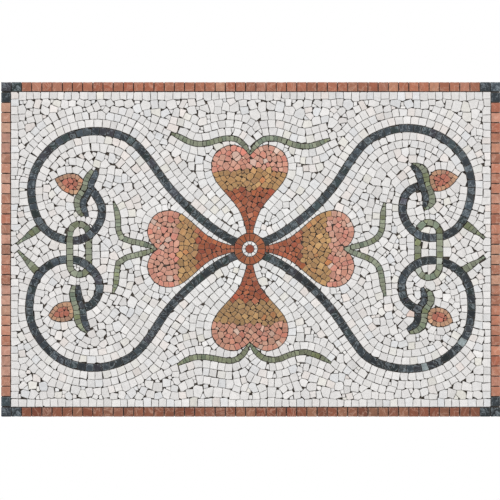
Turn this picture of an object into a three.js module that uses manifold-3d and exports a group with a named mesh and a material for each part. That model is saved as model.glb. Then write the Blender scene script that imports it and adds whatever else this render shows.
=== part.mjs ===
// A mosaic panel of hand-cut marble on a glass-fibre net. Four dark scrolls leave a roundel, and four
// hearts, green links, tendrils, leaves and buds lie between them on a white ground, inside a border of
// one row of tesserae. Tesserae of one colour that lie together as one form are one solid here.
//
// The panel is drawn flat, x to its right and y up, with z rising from the back of the net to the face.
// The group then turns it upright: it faces -Y, and its back, which is bedded on a wall, lies at y = 0
// with the origin in its middle.

import * as THREE from 'three';
import { mergeVertices } from 'three/addons/utils/BufferGeometryUtils.js';
import Module from 'manifold-3d';

const wasm = await Module();
wasm.setup();

// Driving sizes, in millimetres
const panelLength = 600;
const panelHeight = 402;
const netThickness = 1;
const netInset = 1; // the net stops this far inside the panel's edge
const bedding = 0.3; // adhesive between the net and the stone
const stoneThickness = 8.7;
const joint = 0.7; // open joint between two forms
const borderWidth = 11.2; // one tessera
const borderTesseraeAlong = 49;
const borderTesseraeUp = 33;
const grooveWidth = 1; // a joint inside the border, at the face
const grooveDepth = 2.6;
const facetLength = 11.5; // an outline turns at every tessera, and is straight along it
const fineFacetLength = 6; // and so do leaves, buds and what holds them, in smaller tesserae
const scrollWidth = 8.6;
const calyxWidth = 7;
const sepalWidth = 7.8;
const linkWidth = 7.2;
const tendrilWidth = 5.8;
const leafWidth = 8;
const rimRadius = 18.7;
const rimTesserae = 16;
const eyeRadius = 9.8;
const eyeFacets = 10;
const scrollInsetAlong = 33.6; // from the panel's end to the middle line of the scroll nearest to it
const scrollInsetUp = 55.2;

// The design was drawn on a squared cartoon, and each point below is counted in its squares from the
// middle of the roundel: outwards along the panel, and up or down from it.
const roundelOffset = new THREE.Vector2(-1, 0.5); // from the middle of the panel

// Each scroll was laid by hand from the same drawing, so no two are quite alike. `path` is the middle
// line of its band from the roundel to the calyx. `calyx` is the dark row that holds the sepal's green
// row, and `bud` runs from its tip round its base and back. `leaf` runs from root to tip.
const scrolls = {
  upper_left: {
    side: -1, rise: 1,
    path: [[10, 5], [29, 15], [58, 38], [81, 62], [103, 92], [121, 110], [155, 118], [189, 109], [213, 83],
      [219, 57], [209, 24], [189, 10], [166, 10], [149, 29], [149, 45], [160, 61]],
    calyx: [[152.5, 80], [155.5, 72], [158.8, 66], [159.6, 59], [163, 53.5], [166.6, 48], [166.8, 42],
      [164.8, 37], [163, 32.5]],
    sepal: [[157.5, 78.5], [161, 73], [163.8, 67], [164.8, 61], [169, 55], [172.3, 49.5], [172.8, 44.5],
      [170.8, 39], [167.5, 33]],
    bud: [[195, 70], [183, 75], [173, 74.5], [166, 67], [167, 58], [174, 54.5], [182, 56], [190, 61.5],
      [195, 70]],
    leaf: [[210, 22], [233, 5]],
  },
  upper_right: {
    side: 1, rise: 1,
    path: [[10, 5], [29, 14], [58, 35], [83, 61], [103, 91], [119, 109], [153, 121], [188, 114], [213, 93],
      [222, 66], [218, 39], [207, 20], [187, 11], [167, 15], [153, 35], [157, 57], [171, 63]],
    calyx: [[162, 83.5], [168.5, 77], [170.8, 69], [172, 63], [175, 56], [176.5, 49.5], [174.8, 42]],
    sepal: [[163, 84], [169.5, 82.5], [174.8, 79], [176.3, 72], [176.8, 65], [180, 58], [182.5, 51],
      [181.5, 45], [175, 40.5]],
    bud: [[208.5, 72], [198.5, 78], [186, 78.5], [179.5, 72], [180.2, 62.5], [186, 58], [195, 59.3],
      [203, 65], [208.5, 72]],
    leaf: [[214, 26], [235, 11]],
  },
  lower_left: {
    side: -1, rise: -1,
    path: [[10, 5], [29, 14], [58, 36], [82, 61], [103, 92], [120, 109], [154, 119], [189, 111], [214, 85],
      [221, 61], [213, 28], [193, 12], [168, 13], [151, 31], [151, 44], [157, 55], [168, 60]],
    calyx: [[172, 36.5], [171.5, 46], [170, 52], [167.3, 58.5], [166.8, 66], [165.3, 73], [161.5, 82]],
    sepal: [[176, 37], [177.4, 45], [175.8, 52.5], [173.3, 59.5], [173, 67], [171.5, 73], [167.8, 78.7],
      [162.3, 82.8]],
    bud: [[201.5, 66.5], [197, 59.5], [191.5, 55], [184, 53.2], [177, 54.5], [174.5, 61.5], [177.5, 69.5],
      [184, 72.5], [191, 73], [197.5, 71], [201.5, 66.5]],
    leaf: [[212, 24], [232, 2]],
  },
  lower_right: {
    side: 1, rise: -1,
    path: [[10, 5], [29, 14], [58, 35], [83, 62], [103, 91], [118, 109], [152, 120], [188, 114], [215, 90],
      [222, 61], [217, 31], [199, 15], [174, 12], [154, 27], [152, 42], [156, 53], [169, 61]],
    calyx: [[172.8, 39], [174.6, 46], [174.8, 52], [171, 57], [168.2, 62], [168.4, 69], [166, 75.5],
      [158, 81]],
    sepal: [[175.8, 41], [180.5, 45.5], [181.8, 51], [179, 57], [175, 62], [174.3, 70], [172.8, 77],
      [168, 81], [160.5, 83.5]],
    bud: [[203, 73], [201, 66.5], [197, 61.5], [190, 59], [183, 59.3], [178.5, 64], [178.3, 72], [183, 76.5],
      [191, 78], [198, 76.5], [203, 73]],
    leaf: [[213, 22], [235, 8]],
  },
};

// Half of a heart from its root to its notch, as squares sideways and squares out from the roundel
const heartHalf = [[2.2, 10], [3.5, 20], [7, 31], [11.5, 41], [19, 50], [28, 60], [36, 71], [38.5, 82],
  [36, 93], [28, 100], [18, 103.5], [9, 101], [0, 94]];
const heartRoot = heartHalf[0][1];
const heartReach = Math.max(...heartHalf.map(([, outwards]) => outwards));

// A heart points at the roundel. `root` and `middle` are where its red and its ochre stone end. The wings
// of its tendril run from the notch to their tips, the right or upper wing first, counted as the heart is.
const hearts = {
  top: {
    out: new THREE.Vector2(0, 1), reach: 104.5, root: 60, middle: 79,
    wings: [
      [[0, 95], [7, 105], [16, 111], [29, 110], [45, 104], [56, 102], [68, 105], [80, 110]],
      [[0, 95], [7, 106], [15, 111], [28, 110], [45, 105], [57, 105.5], [70, 112], [79, 116]],
    ],
  },
  bottom: {
    out: new THREE.Vector2(0, -1), reach: 102.5, root: 52, middle: 75,
    wings: [
      [[0, 94.5], [8.5, 106], [17, 111], [28, 111], [40, 106], [54, 103], [67, 106.5], [81, 114]],
      [[0, 94.5], [6, 105], [12, 110.5], [20, 112.5], [36, 109.5], [52, 108], [62, 110.5], [72, 116]],
    ],
  },
  left: {
    out: new THREE.Vector2(-1, 0), reach: 102.8, root: 53, middle: 72,
    wings: [
      [[0, 94], [4, 103], [7, 115], [9, 125], [13, 130], [20, 132], [33, 132], [46, 136]],
      [[0, 94], [4.5, 106], [7.5, 120], [11, 129.5], [19, 133], [33, 133.5], [44, 137]],
    ],
  },
  right: {
    out: new THREE.Vector2(1, 0), reach: 105, root: 53, middle: 79,
    wings: [
      [[0, 94.5], [2.5, 106], [6, 119], [11, 128], [19, 132.5], [33, 133], [46, 135]],
      [[0, 94.5], [5, 107], [9, 118], [13.5, 126.5], [21, 131], [33, 132.5], [47, 135.5]],
    ],
  },
};

// A link is a ring with straight sides. It lies over both scrolls on its outer side, towards the border,
// and under them on its inner side. Its half width and half height are to the middle of its green row.
const links = {
  left: { side: -1, middle: [170.8, -0.5], halfWidth: 9.5, halfHeight: 25.5 },
  right: { side: 1, middle: [179.2, -1], halfWidth: 11, halfHeight: 27.6 },
};

const marble = (colour, roughness = 0.55) => new THREE.MeshStandardMaterial({ color: colour, roughness });
const materials = {
  net: new THREE.MeshStandardMaterial({ color: '#d9d4c7', roughness: 0.9 }),
  white: marble('#dedad6'),
  dark: marble('#3a444b', 0.45),
  terracotta: marble('#b9785f'),
  red: marble('#b26047'),
  ochre: marble('#b09160'),
  pink: marble('#dc9c86'),
  green: marble('#7f8c61'),
};

const stoneBack = netThickness + bedding;
const stoneFace = stoneBack + stoneThickness;
const cutterMargin = 1; // a cutter reaches this far past both faces of the stone

// The squares are as large as lets the scrolls keep their distance from the panel's edges.
const halfPanel = new THREE.Vector2(panelLength / 2, panelHeight / 2);
const farthest = new THREE.Vector2();
for (const { side, rise, path } of Object.values(scrolls)) {
  for (const [across, up] of path) {
    farthest.x = Math.max(farthest.x, Math.abs(side * across + roundelOffset.x));
    farthest.y = Math.max(farthest.y, Math.abs(rise * up + roundelOffset.y));
  }
}
const scrollInset = new THREE.Vector2(scrollInsetAlong, scrollInsetUp);
const square = halfPanel.clone().sub(scrollInset).divide(farthest);

// A point of the cartoon, mirrored to one quarter of the panel, as a place on the panel.
function placed([across, up], side, rise) {
  return new THREE.Vector2(side * across, rise * up).add(roundelOffset).multiply(square);
}

// A smooth line through a few points, as equal straight facets.
const fewestFacets = 3;
function facets(points, length = facetLength) {
  const stops = points.map((point) => new THREE.Vector3(point.x, point.y, 0));
  const curve = new THREE.CatmullRomCurve3(stops, false, 'centripetal');
  const count = Math.max(fewestFacets, Math.round(curve.getLength() / length));
  return curve.getSpacedPoints(count).map((p) => new THREE.Vector2(p.x, p.y));
}

// The direction that halves the turn of a line at one of its points, pointing to its right, and how much
// longer than the offset the step along it has to be to keep both facets at that offset.
const sharpestMitre = 0.4;
function mitre(before, at, after) {
  const arriving = before ? at.clone().sub(before).normalize() : after.clone().sub(at).normalize();
  const leaving = after ? after.clone().sub(at).normalize() : arriving;
  const right = new THREE.Vector2(arriving.y + leaving.y, -arriving.x - leaving.x).normalize();
  const lean = Math.max(sharpestMitre, right.dot(new THREE.Vector2(leaving.y, -leaving.x)));
  return right.divideScalar(lean);
}

// The closed outline moved outwards by a distance on every side.
function grown(outline, distance) {
  const turn = THREE.ShapeUtils.area(outline) > 0 ? 1 : -1;
  const count = outline.length;
  return outline.map((point, i) => {
    const step = mitre(outline[(i + count - 1) % count], point, outline[(i + 1) % count]);
    return point.clone().addScaledVector(step, turn * distance);
  });
}

// The closed outline of a row of tesserae along a line: `widthAt` gives its width at a share of its run.
function row(line, widthAt) {
  const last = line.length - 1;
  const edge = (way) => line.map((point, i) => {
    const step = mitre(line[i - 1], point, line[i + 1]);
    return point.clone().addScaledVector(step, way * widthAt(i / last) / 2);
  });
  return [...edge(1), ...edge(-1).reverse()];
}

// Widths along a row: even, blunt at both ends, swelling from a point and tapering to the far end,
// and a spike.
const tipShare = 0.3; // a point is left this share of the row's width
const bluntShare = 0.5; // and a blunt end this share
const bluntEnd = 1 / 4; // a blunt end takes this share of the row, and so on
const shortPoint = 1 / 9;
const longPoint = 2 / 3;
const swelling = 1 / 6;
const between = (width, share) => width * Math.max(tipShare, Math.min(1, share));
const even = (width) => () => width;
const bluntBoth = (width) => (share) => (
  between(width, bluntShare + Math.min(share, 1 - share) / bluntEnd));
const pointedEnd = (width) => (share) => (
  between(width, Math.min(tipShare + share / swelling, (1 - share) / shortPoint)));
const spike = (width) => (share) => between(width, (1 - share) / longPoint);

function asManifold(geometry) {
  geometry.deleteAttribute('normal');
  geometry.deleteAttribute('uv');
  const merged = mergeVertices(geometry);
  return new wasm.Manifold(new wasm.Mesh({
    numProp: 3,
    vertProperties: merged.attributes.position.array,
    triVerts: new Uint32Array(merged.index.array),
  }));
}

// A closed outline as a slab of stone, or as a cutter that goes through it.
function slab(outline, low = stoneBack, high = stoneFace) {
  const shape = new THREE.Shape(outline);
  const geometry = new THREE.ExtrudeGeometry(shape, { depth: high - low, bevelEnabled: false });
  geometry.translate(0, 0, low);
  return asManifold(geometry);
}

function cutter(outline, clearance = joint) {
  return slab(grown(outline, clearance), stoneBack - cutterMargin, stoneFace + cutterMargin);
}

function circle(radius, count) {
  const centre = placed([0, 0], 1, 1);
  return Array.from({ length: count }, (_, i) => {
    const angle = (2 * Math.PI * i) / count;
    return new THREE.Vector2(centre.x + radius * Math.cos(angle), centre.y + radius * Math.sin(angle));
  });
}

function rectangle(low, high) {
  return [low, new THREE.Vector2(high.x, low.y), high, new THREE.Vector2(low.x, high.y)];
}

const union = (solids) => solids.reduce((all, solid) => all.add(solid));
const largest = (solid) => solid.decompose().reduce((a, b) => (b.volume() > a.volume() ? b : a));

// How far the middle of a solid's box is from a place, and how far its nearest vertex is.
function boxDistance(solid, place) {
  const { min, max } = solid.boundingBox();
  return Math.hypot((min[0] + max[0]) / 2 - place.x, (min[1] + max[1]) / 2 - place.y);
}

function vertexDistance(solid, place) {
  const { vertProperties } = solid.getMesh();
  let nearest = Infinity;
  for (let i = 0; i < vertProperties.length; i += 3) {
    nearest = Math.min(nearest, Math.hypot(vertProperties[i] - place.x, vertProperties[i + 1] - place.y));
  }
  return nearest;
}

const panel = new THREE.Group();
panel.rotation.x = Math.PI / 2;

function lay(name, solid, material) {
  const { vertProperties, triVerts } = solid.getMesh();
  const geometry = new THREE.BufferGeometry();
  geometry.setAttribute('position', new THREE.BufferAttribute(vertProperties, 3));
  geometry.setIndex(new THREE.BufferAttribute(triVerts, 1));
  const mesh = new THREE.Mesh(geometry, material);
  mesh.name = name;
  panel.add(mesh);
}

// Net
const halfNet = halfPanel.clone().subScalar(netInset);
lay('mesh_backing', slab(rectangle(halfNet.clone().negate(), halfNet), 0, netThickness), materials.net);

// Border: a strip of tesserae with a V groove at each joint, its profile drawn along the strip and
// carried across its width. The strip starts at x = 0 and lies on y = 0 to y = borderWidth.
const pitchAlong = panelLength / borderTesseraeAlong;
const pitchUp = panelHeight / borderTesseraeUp;
const cornerTesserae = 2; // a corner takes this many along each side

function borderStrip(count, pitch, length) {
  const profile = [new THREE.Vector2(0, stoneBack), new THREE.Vector2(length, stoneBack)];
  profile.push(new THREE.Vector2(length, stoneFace));
  for (let i = count - 1; i > 0; i--) {
    const middle = length - (count - i) * pitch;
    profile.push(new THREE.Vector2(middle + grooveWidth / 2, stoneFace));
    profile.push(new THREE.Vector2(middle, stoneFace - grooveDepth));
    profile.push(new THREE.Vector2(middle - grooveWidth / 2, stoneFace));
  }
  profile.push(new THREE.Vector2(0, stoneFace));
  const shape = new THREE.Shape(profile);
  const geometry = new THREE.ExtrudeGeometry(shape, { depth: borderWidth, bevelEnabled: false });
  geometry.rotateX(Math.PI / 2);
  geometry.translate(0, borderWidth, 0);
  return geometry;
}

const halfOnEnd = new THREE.Vector2(halfPanel.y, halfPanel.x); // the panel stood on its short side
const long = { half: halfPanel, pitch: pitchAlong, total: borderTesseraeAlong };
const short = { half: halfOnEnd, pitch: pitchUp, total: borderTesseraeUp };
const sides = {
  bottom: { turn: 0, ...long },
  right: { turn: 1, ...short },
  top: { turn: 2, ...long },
  left: { turn: 3, ...short },
};

for (const [side, { turn, half, pitch, total }] of Object.entries(sides)) {
  const count = total - 2 * cornerTesserae;
  const strip = borderStrip(count, pitch, count * pitch - joint);
  strip.translate(cornerTesserae * pitch + joint / 2 - half.x, -half.y, 0);
  strip.rotateZ((turn * Math.PI) / 2);
  lay(`border_${side}`, asManifold(strip), materials.terracotta);
}

// Corners: the corner tessera, with one beside it along each side.
const cornerTurns = { lower_left: 0, lower_right: 1, upper_right: 2, upper_left: 3 };
for (const [corner, turn] of Object.entries(cornerTurns)) {
  const onEnd = turn % 2 === 1;
  const half = onEnd ? halfOnEnd : halfPanel;
  const first = onEnd ? pitchUp : pitchAlong;
  const second = onEnd ? pitchAlong : pitchUp;
  const ahead = borderStrip(cornerTesserae, first, cornerTesserae * first - joint / 2);
  ahead.translate(-half.x, -half.y, 0);
  ahead.rotateZ((turn * Math.PI) / 2);
  const back = borderStrip(cornerTesserae, second, cornerTesserae * second - joint / 2);
  back.rotateZ(Math.PI / 2);
  back.scale(-1, 1, 1);
  back.translate(-half.x, -half.y, 0);
  back.rotateZ((turn * Math.PI) / 2);
  lay(`corner_${corner}`, asManifold(ahead).add(turnedOut(back)), materials.dark);
}

// A mirrored geometry has its faces turned in, so the order of each triangle is turned round.
function turnedOut(geometry) {
  const position = geometry.attributes.position.array;
  for (let i = 0; i < position.length; i += 9) {
    const second = position.slice(i + 3, i + 6);
    position.copyWithin(i + 3, i + 6, i + 9);
    position.set(second, i + 6);
  }
  return asManifold(geometry);
}

// Roundel
const rim = circle(rimRadius, rimTesserae);
const eye = circle(eyeRadius, eyeFacets);
lay('roundel_rim', slab(rim).subtract(cutter(eye, joint / 2)), materials.red);
lay('roundel_eye', slab(grown(eye, -joint / 2)), materials.white);
const roundelCutter = cutter(rim);

// Links, as whole rings, and the zone in which each lies over the scrolls
const facetsPerTessera = 2; // a link turns so sharply that each of its tesserae is two facets
function stadium(link, offset) {
  const centre = placed(link.middle, link.side, 1);
  const radius = link.halfWidth * square.x + offset;
  const straight = link.halfHeight * square.y - link.halfWidth * square.x;
  const tesserae = Math.round((Math.PI * link.halfWidth * square.x) / facetLength);
  const count = tesserae * facetsPerTessera;
  const end = (start, lift) => Array.from({ length: count + 1 }, (_, i) => {
    const angle = start + (Math.PI * i) / count;
    const turned = new THREE.Vector2(Math.cos(angle), Math.sin(angle)).multiplyScalar(radius);
    return turned.add(centre).add(new THREE.Vector2(0, lift));
  });
  return [...end(0, straight), ...end(Math.PI, -straight)];
}

function ring(link, clearance) {
  const [low, high] = [stoneBack - cutterMargin, stoneFace + cutterMargin];
  const hole = slab(stadium(link, -linkWidth / 2 - clearance), low, high);
  const whole = stadium(link, linkWidth / 2 + clearance);
  return (clearance > 0 ? slab(whole, low, high) : slab(whole)).subtract(hole);
}

function overZone(link) {
  const centre = placed(link.middle, link.side, 1);
  const reach = link.halfHeight * square.y + linkWidth;
  const outer = centre.x + link.side * (link.halfWidth * square.x + linkWidth);
  const low = new THREE.Vector2(Math.min(centre.x, outer), centre.y - reach);
  const high = new THREE.Vector2(Math.max(centre.x, outer), centre.y + reach);
  return slab(rectangle(low, high), stoneBack - cutterMargin, stoneFace + cutterMargin);
}

const linkRings = Object.values(links).map((link) => ({ grown: ring(link, joint), zone: overZone(link) }));
const overLinks = union(linkRings.map(({ grown: whole, zone }) => whole.intersect(zone)));

// Scrolls: a band with its calyx, parted where a link lies over it
const scrollCutters = [];
const motifCutters = [roundelCutter];
for (const [quarter, scroll] of Object.entries(scrolls)) {
  const at = (points) => points.map((point) => placed(point, scroll.side, scroll.rise));
  const band = row(facets(at(scroll.path)), even(scrollWidth));
  const calyx = row(facets(at(scroll.calyx), fineFacetLength), bluntBoth(calyxWidth));
  const sepal = row(facets(at(scroll.sepal), fineFacetLength), bluntBoth(sepalWidth));
  const bud = facets(at(scroll.bud), fineFacetLength).slice(1);
  const leaf = row(facets(at(scroll.leaf), fineFacetLength), spike(leafWidth));
  const dark = slab(band).add(slab(calyx)).subtract(roundelCutter).subtract(overLinks);
  const darkCutter = cutter(band).add(cutter(calyx));

  const pieces = dark.decompose().sort((a, b) => b.volume() - a.volume()).slice(0, 2);
  const start = placed([0, 0], 1, 1);
  pieces.sort((a, b) => vertexDistance(a, start) - vertexDistance(b, start));
  lay(`scroll_${quarter}_stem`, pieces[0], materials.dark);
  lay(`scroll_${quarter}_curl`, pieces[1], materials.dark);

  const sepalSolid = largest(slab(sepal).subtract(darkCutter));
  lay(`sepal_${quarter}`, sepalSolid, materials.green);
  lay(`bud_${quarter}`, largest(slab(bud).subtract(cutter(sepal)).subtract(darkCutter)), materials.ochre);
  lay(`leaf_${quarter}`, largest(slab(leaf).subtract(darkCutter)), materials.green);
  scrollCutters.push(darkCutter);
  motifCutters.push(darkCutter, cutter(sepal), cutter(bud), cutter(leaf));
}
const allScrolls = union(scrollCutters);

// Links, cut where they pass under a scroll
Object.entries(links).forEach(([side, link], i) => {
  const under = allScrolls.subtract(linkRings[i].zone);
  const pieces = ring(link, 0).subtract(under).decompose().sort((a, b) => b.volume() - a.volume());
  lay(`link_${side}`, pieces[0], materials.green);
  lay(`link_${side}_under`, pieces[1], materials.green);
  motifCutters.push(linkRings[i].grown);
});

// Hearts, each in three colours, with its tendril
function fromHeart({ out }, [sideways, outwards]) {
  const across = new THREE.Vector2(Math.abs(out.y), Math.abs(out.x));
  const point = across.multiplyScalar(sideways).addScaledVector(out, outwards);
  return placed([point.x, point.y], 1, 1);
}

for (const [name, heart] of Object.entries(hearts)) {
  const stretch = (heart.reach - heartRoot) / (heartReach - heartRoot);
  const half = (side) => facets(heartHalf.map(([sideways, outwards]) => (
    fromHeart(heart, [side * sideways, heartRoot + (outwards - heartRoot) * stretch]))));
  const outline = [...half(1), ...half(-1).slice(0, -1).reverse()];
  const whole = slab(outline).subtract(roundelCutter).subtract(allScrolls);

  const beyond = heart.reach + heartRoot; // a line across the panel that lies clear of the heart
  const colours = [
    ['root', 0, heart.root, materials.red],
    ['middle', heart.root, heart.middle, materials.ochre],
    ['lobes', heart.middle, beyond, materials.pink],
  ];
  const wings = heart.wings.map((line, i) => {
    const side = i ? -1 : 1;
    const points = line.map(([sideways, outwards]) => fromHeart(heart, [side * sideways, outwards]));
    return row(facets(points), pointedEnd(tendrilWidth));
  });
  const tendrilCutter = union(wings.map((wing) => cutter(wing)));
  for (const [part, from, to, material] of colours) {
    const corners = [[-beyond, from], [beyond, from], [beyond, to], [-beyond, to]];
    const share = cutter(corners.map((corner) => fromHeart(heart, corner)), -joint / 2);
    lay(`heart_${name}_${part}`, largest(whole.intersect(share).subtract(tendrilCutter)), material);
  }
  const tendril = union(wings.map((wing) => slab(wing))).subtract(allScrolls);
  lay(`tendril_${name}`, largest(tendril), materials.green);
  motifCutters.push(cutter(outline), tendrilCutter);
}

// Ground: the field inside the border, less every form on it. Each piece of it is known by the place its
// box is nearest to: the middle of a link's window or cell, or the middle of the field between two scrolls.
const fieldShare = 0.6; // how far that field's middle lies towards its link
const halfField = halfPanel.clone().subScalar(borderWidth + joint);
const field = slab(rectangle(halfField.clone().negate(), halfField));
const groundPieces = field.subtract(union(motifCutters)).decompose();
const groundPlaces = { ground_outer: new THREE.Vector2(0, 0) };
for (const [side, link] of Object.entries(links)) {
  const centre = placed(link.middle, link.side, 1);
  const lift = link.halfHeight * square.y - (link.halfWidth * square.x) / 2;
  const cell = new THREE.Vector2(0, lift);
  groundPlaces[`ground_${side}`] = centre.clone().multiplyScalar(fieldShare);
  groundPlaces[`window_${side}`] = centre;
  groundPlaces[`cell_upper_${side}`] = centre.clone().add(cell);
  groundPlaces[`cell_lower_${side}`] = centre.clone().sub(cell);
}
for (const [name, place] of Object.entries(groundPlaces)) {
  const nearest = groundPieces.reduce((a, b) => (boxDistance(b, place) < boxDistance(a, place) ? b : a));
  groundPieces.splice(groundPieces.indexOf(nearest), 1);
  lay(name, nearest, materials.white);
}

export default panel;
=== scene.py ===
"""Lays hand-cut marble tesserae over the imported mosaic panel, with the net on its back.

Each form of the panel is one solid in the frame. Its outline is read from the solid's back, tesserae are
laid in rows along it and then between the rows, and they take the solid's place. The layout is worked
out flat, with x along the panel and z up it, and -Y towards the viewer.
"""

import math

import bpy
import numpy as np
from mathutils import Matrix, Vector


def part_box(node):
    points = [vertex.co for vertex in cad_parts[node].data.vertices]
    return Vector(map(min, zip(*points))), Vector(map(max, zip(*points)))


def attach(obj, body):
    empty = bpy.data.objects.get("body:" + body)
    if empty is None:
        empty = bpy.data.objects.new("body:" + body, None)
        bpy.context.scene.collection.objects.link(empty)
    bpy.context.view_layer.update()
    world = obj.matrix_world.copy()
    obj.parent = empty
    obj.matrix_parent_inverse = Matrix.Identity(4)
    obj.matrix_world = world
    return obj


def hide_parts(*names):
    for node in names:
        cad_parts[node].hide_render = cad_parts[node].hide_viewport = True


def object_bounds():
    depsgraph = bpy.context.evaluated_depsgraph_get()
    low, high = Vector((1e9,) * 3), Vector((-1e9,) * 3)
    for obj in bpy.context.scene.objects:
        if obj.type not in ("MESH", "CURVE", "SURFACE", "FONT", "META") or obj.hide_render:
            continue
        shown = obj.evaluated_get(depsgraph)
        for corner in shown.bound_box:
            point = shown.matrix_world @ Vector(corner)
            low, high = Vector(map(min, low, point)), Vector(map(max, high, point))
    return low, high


bl_info = {
    "name": "Marble mosaic panel",
    "version": (1, 0, 0),
    "blender": (4, 5, 0),
    "location": "View3D > Sidebar > Mosaic",
    "description": "Lays hand-cut tesserae in rows over the forms of a mosaic panel",
    "category": "Add Mesh",
}

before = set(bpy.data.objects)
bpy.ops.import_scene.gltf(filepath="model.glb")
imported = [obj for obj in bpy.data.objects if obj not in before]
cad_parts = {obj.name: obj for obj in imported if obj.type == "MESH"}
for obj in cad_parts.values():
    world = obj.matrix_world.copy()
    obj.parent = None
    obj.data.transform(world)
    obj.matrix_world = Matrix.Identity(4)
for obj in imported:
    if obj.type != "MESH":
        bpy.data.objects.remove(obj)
FRAME_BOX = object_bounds()

MM = 0.001
WELD = 1e-6  # corners nearer than this are one corner
FACE = FRAME_BOX[0].y
STONE_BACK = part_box("ground_outer")[1].y
NET_BACK = FRAME_BOX[1].y
HALF_PANEL = np.array([FRAME_BOX[1].x, FRAME_BOX[1].z])
BORDER_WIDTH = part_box("border_bottom")[1].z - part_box("border_bottom")[0].z


# Colours


def linear(red, green, blue):
    """A display colour from 0 to 255 as linear light, by the usual display curve."""
    shares = (value / 255 for value in (red, green, blue))
    return tuple(v / 12.92 if v <= 0.04045 else ((v + 0.055) / 1.055) ** 2.4 for v in shares)


def looks(usual, *leans, dirt, veins, centre=None, **amounts):
    """How a stone looks: its usual colour, those that single tesserae lean to with how often, the dark colour
    of the dirt and painted shade deep in its joints, its veins, and its usual colour in the middle of the
    panel. The amounts are how much it varies from light to dark, and its clouds, veins, grain and roughness."""
    return {
        "usual": linear(*usual), "centre": linear(*(centre or usual)), "dirt": linear(*dirt),
        "veins": linear(*veins), "leans": [(linear(*colour), often) for *colour, often in leans], **amounts}


# Each stone's dirt colour is painted down its tesserae's sides into the joints: partly real dirt, partly
# painted shade of the deep narrow joints.
STONES = {
    "white_marble": looks(
        (234, 232, 231), (238, 229, 224, 0.11), (229, 230, 232, 0.12), (234, 231, 223, 0.05),
        dirt=(150, 145, 140), veins=(176, 176, 174), centre=(238, 239, 239),
        spread=0.045, cloud=0.07, vein=0.10, grain=0.05, rough=0.52),
    "dark_stone": looks(
        (54, 63, 71), (66, 74, 78, 0.22), (44, 60, 58, 0.20), (60, 58, 66, 0.15),
        dirt=(24, 25, 27), veins=(140, 150, 156), centre=(38, 44, 45),
        spread=0.32, cloud=0.36, vein=0.6, grain=0.26, rough=0.46),
    "terracotta_marble": looks(
        (178, 117, 93), (200, 152, 126, 0.30), (176, 104, 80, 0.22), (196, 140, 120, 0.15),
        dirt=(84, 52, 38), veins=(222, 186, 166), spread=0.09, cloud=0.20, vein=0.34, grain=0.09, rough=0.55),
    "red_marble": looks(
        (174, 98, 72), (198, 118, 78, 0.25), (168, 82, 64, 0.25), (196, 128, 106, 0.14),
        dirt=(74, 36, 24), veins=(214, 156, 130), spread=0.13, cloud=0.12, vein=0.12, grain=0.08, rough=0.55),
    "ochre_marble": looks(
        (178, 143, 98), (196, 162, 112, 0.25), (168, 134, 98, 0.25), (190, 128, 84, 0.10),
        dirt=(84, 58, 32), veins=(212, 188, 150), spread=0.12, cloud=0.12, vein=0.12, grain=0.08, rough=0.55),
    "pink_marble": looks(
        (212, 154, 134), (226, 186, 166, 0.24), (220, 138, 122, 0.26), (232, 216, 206, 0.08),
        dirt=(96, 54, 42), veins=(238, 208, 196), spread=0.09, cloud=0.09, vein=0.16, grain=0.06, rough=0.53),
    "green_marble": looks(
        (136, 141, 121), (158, 165, 144, 0.24), (118, 125, 86, 0.25), (116, 130, 112, 0.22),
        dirt=(62, 66, 44), veins=(182, 190, 168), spread=0.17, cloud=0.16, vein=0.18, grain=0.14, rough=0.55),
}

# Which stone each form of the panel is laid in
STONE_OF = {
    "border": "terracotta_marble", "corner": "dark_stone", "scroll": "dark_stone",
    "ground": "white_marble", "window": "white_marble", "cell": "white_marble",
    "link": "green_marble", "tendril": "green_marble", "leaf": "green_marble", "sepal": "green_marble",
    "bud": "ochre_marble", "root": "red_marble", "middle": "ochre_marble", "lobes": "pink_marble",
    "rim": "red_marble", "eye": "white_marble",
}

# Forms that are laid in a lot of their own: its red, green and blue as shares of its stone's
TONES = {
    "border_top": (0.85, 0.79, 0.74), "border_bottom": (0.51, 0.43, 0.38), "border_left": (0.97, 1.1, 1.17),
    "scroll_lower_right_stem": 0.72, "scroll_lower_left_stem": 0.82, "scroll_lower_right_curl": 0.8,
    "corner": 0.82, "bud": (1.12, 1.04, 1.42), "tendril_bottom": (0.84, 0.84, 0.74), "tendril_left": 1.08,
    "heart_bottom_lobes": (0.83, 0.76, 0.69), "heart_bottom_middle": (0.85, 0.82, 0.8),
    "root": (0.79, 0.74, 0.63), "middle": (1.0, 0.93, 0.86), "lobes": (0.92, 0.84, 0.79),
    "rim": (0.79, 0.8, 0.6),
}

PALE_DARK = linear(150, 162, 164)
PALE_GREEN = linear(186, 192, 180)
PINK_WHITE = linear(228, 206, 196)
CORE_RED = linear(180, 108, 90)
MIDDLE_RED = linear(144, 70, 49)

# Single stones that stand out: where each lies on the panel, in millimetres, and its colour
SINGLE_STONES = {
    "dark_stone": [((256, -111), PALE_DARK), ((210, -140), PALE_DARK)],
    "green_marble": [((227, -15), PALE_GREEN), ((206, -22), PALE_GREEN)],
    "white_marble": [((195, -78), PINK_WHITE)],
}
SINGLE_REACH = 8 * MM  # a tessera whose middle is nearer than this to such a place is that stone


def looked_up(table, node, usual=None):
    """What a table says of a node, by its whole name or else by the first or the last word of it."""
    words = node.split("_")
    return next((table[name] for name in (node, words[0], words[-1]) if name in table), usual)


def nodes_called(*starts):
    """The frame's nodes whose names begin with one of these words, in order."""
    return sorted(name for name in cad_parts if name.split("_")[0] in starts)


# Settings


def setting(kind, name, description, default, **more):
    """A value of a property group or of an operator."""
    return getattr(bpy.props, f"{kind}Property")(name=name, description=description, default=default, **more)


def extent(name, description, default):
    return setting("Float", name, description, default, min=0, unit="LENGTH", precision=5)


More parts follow.
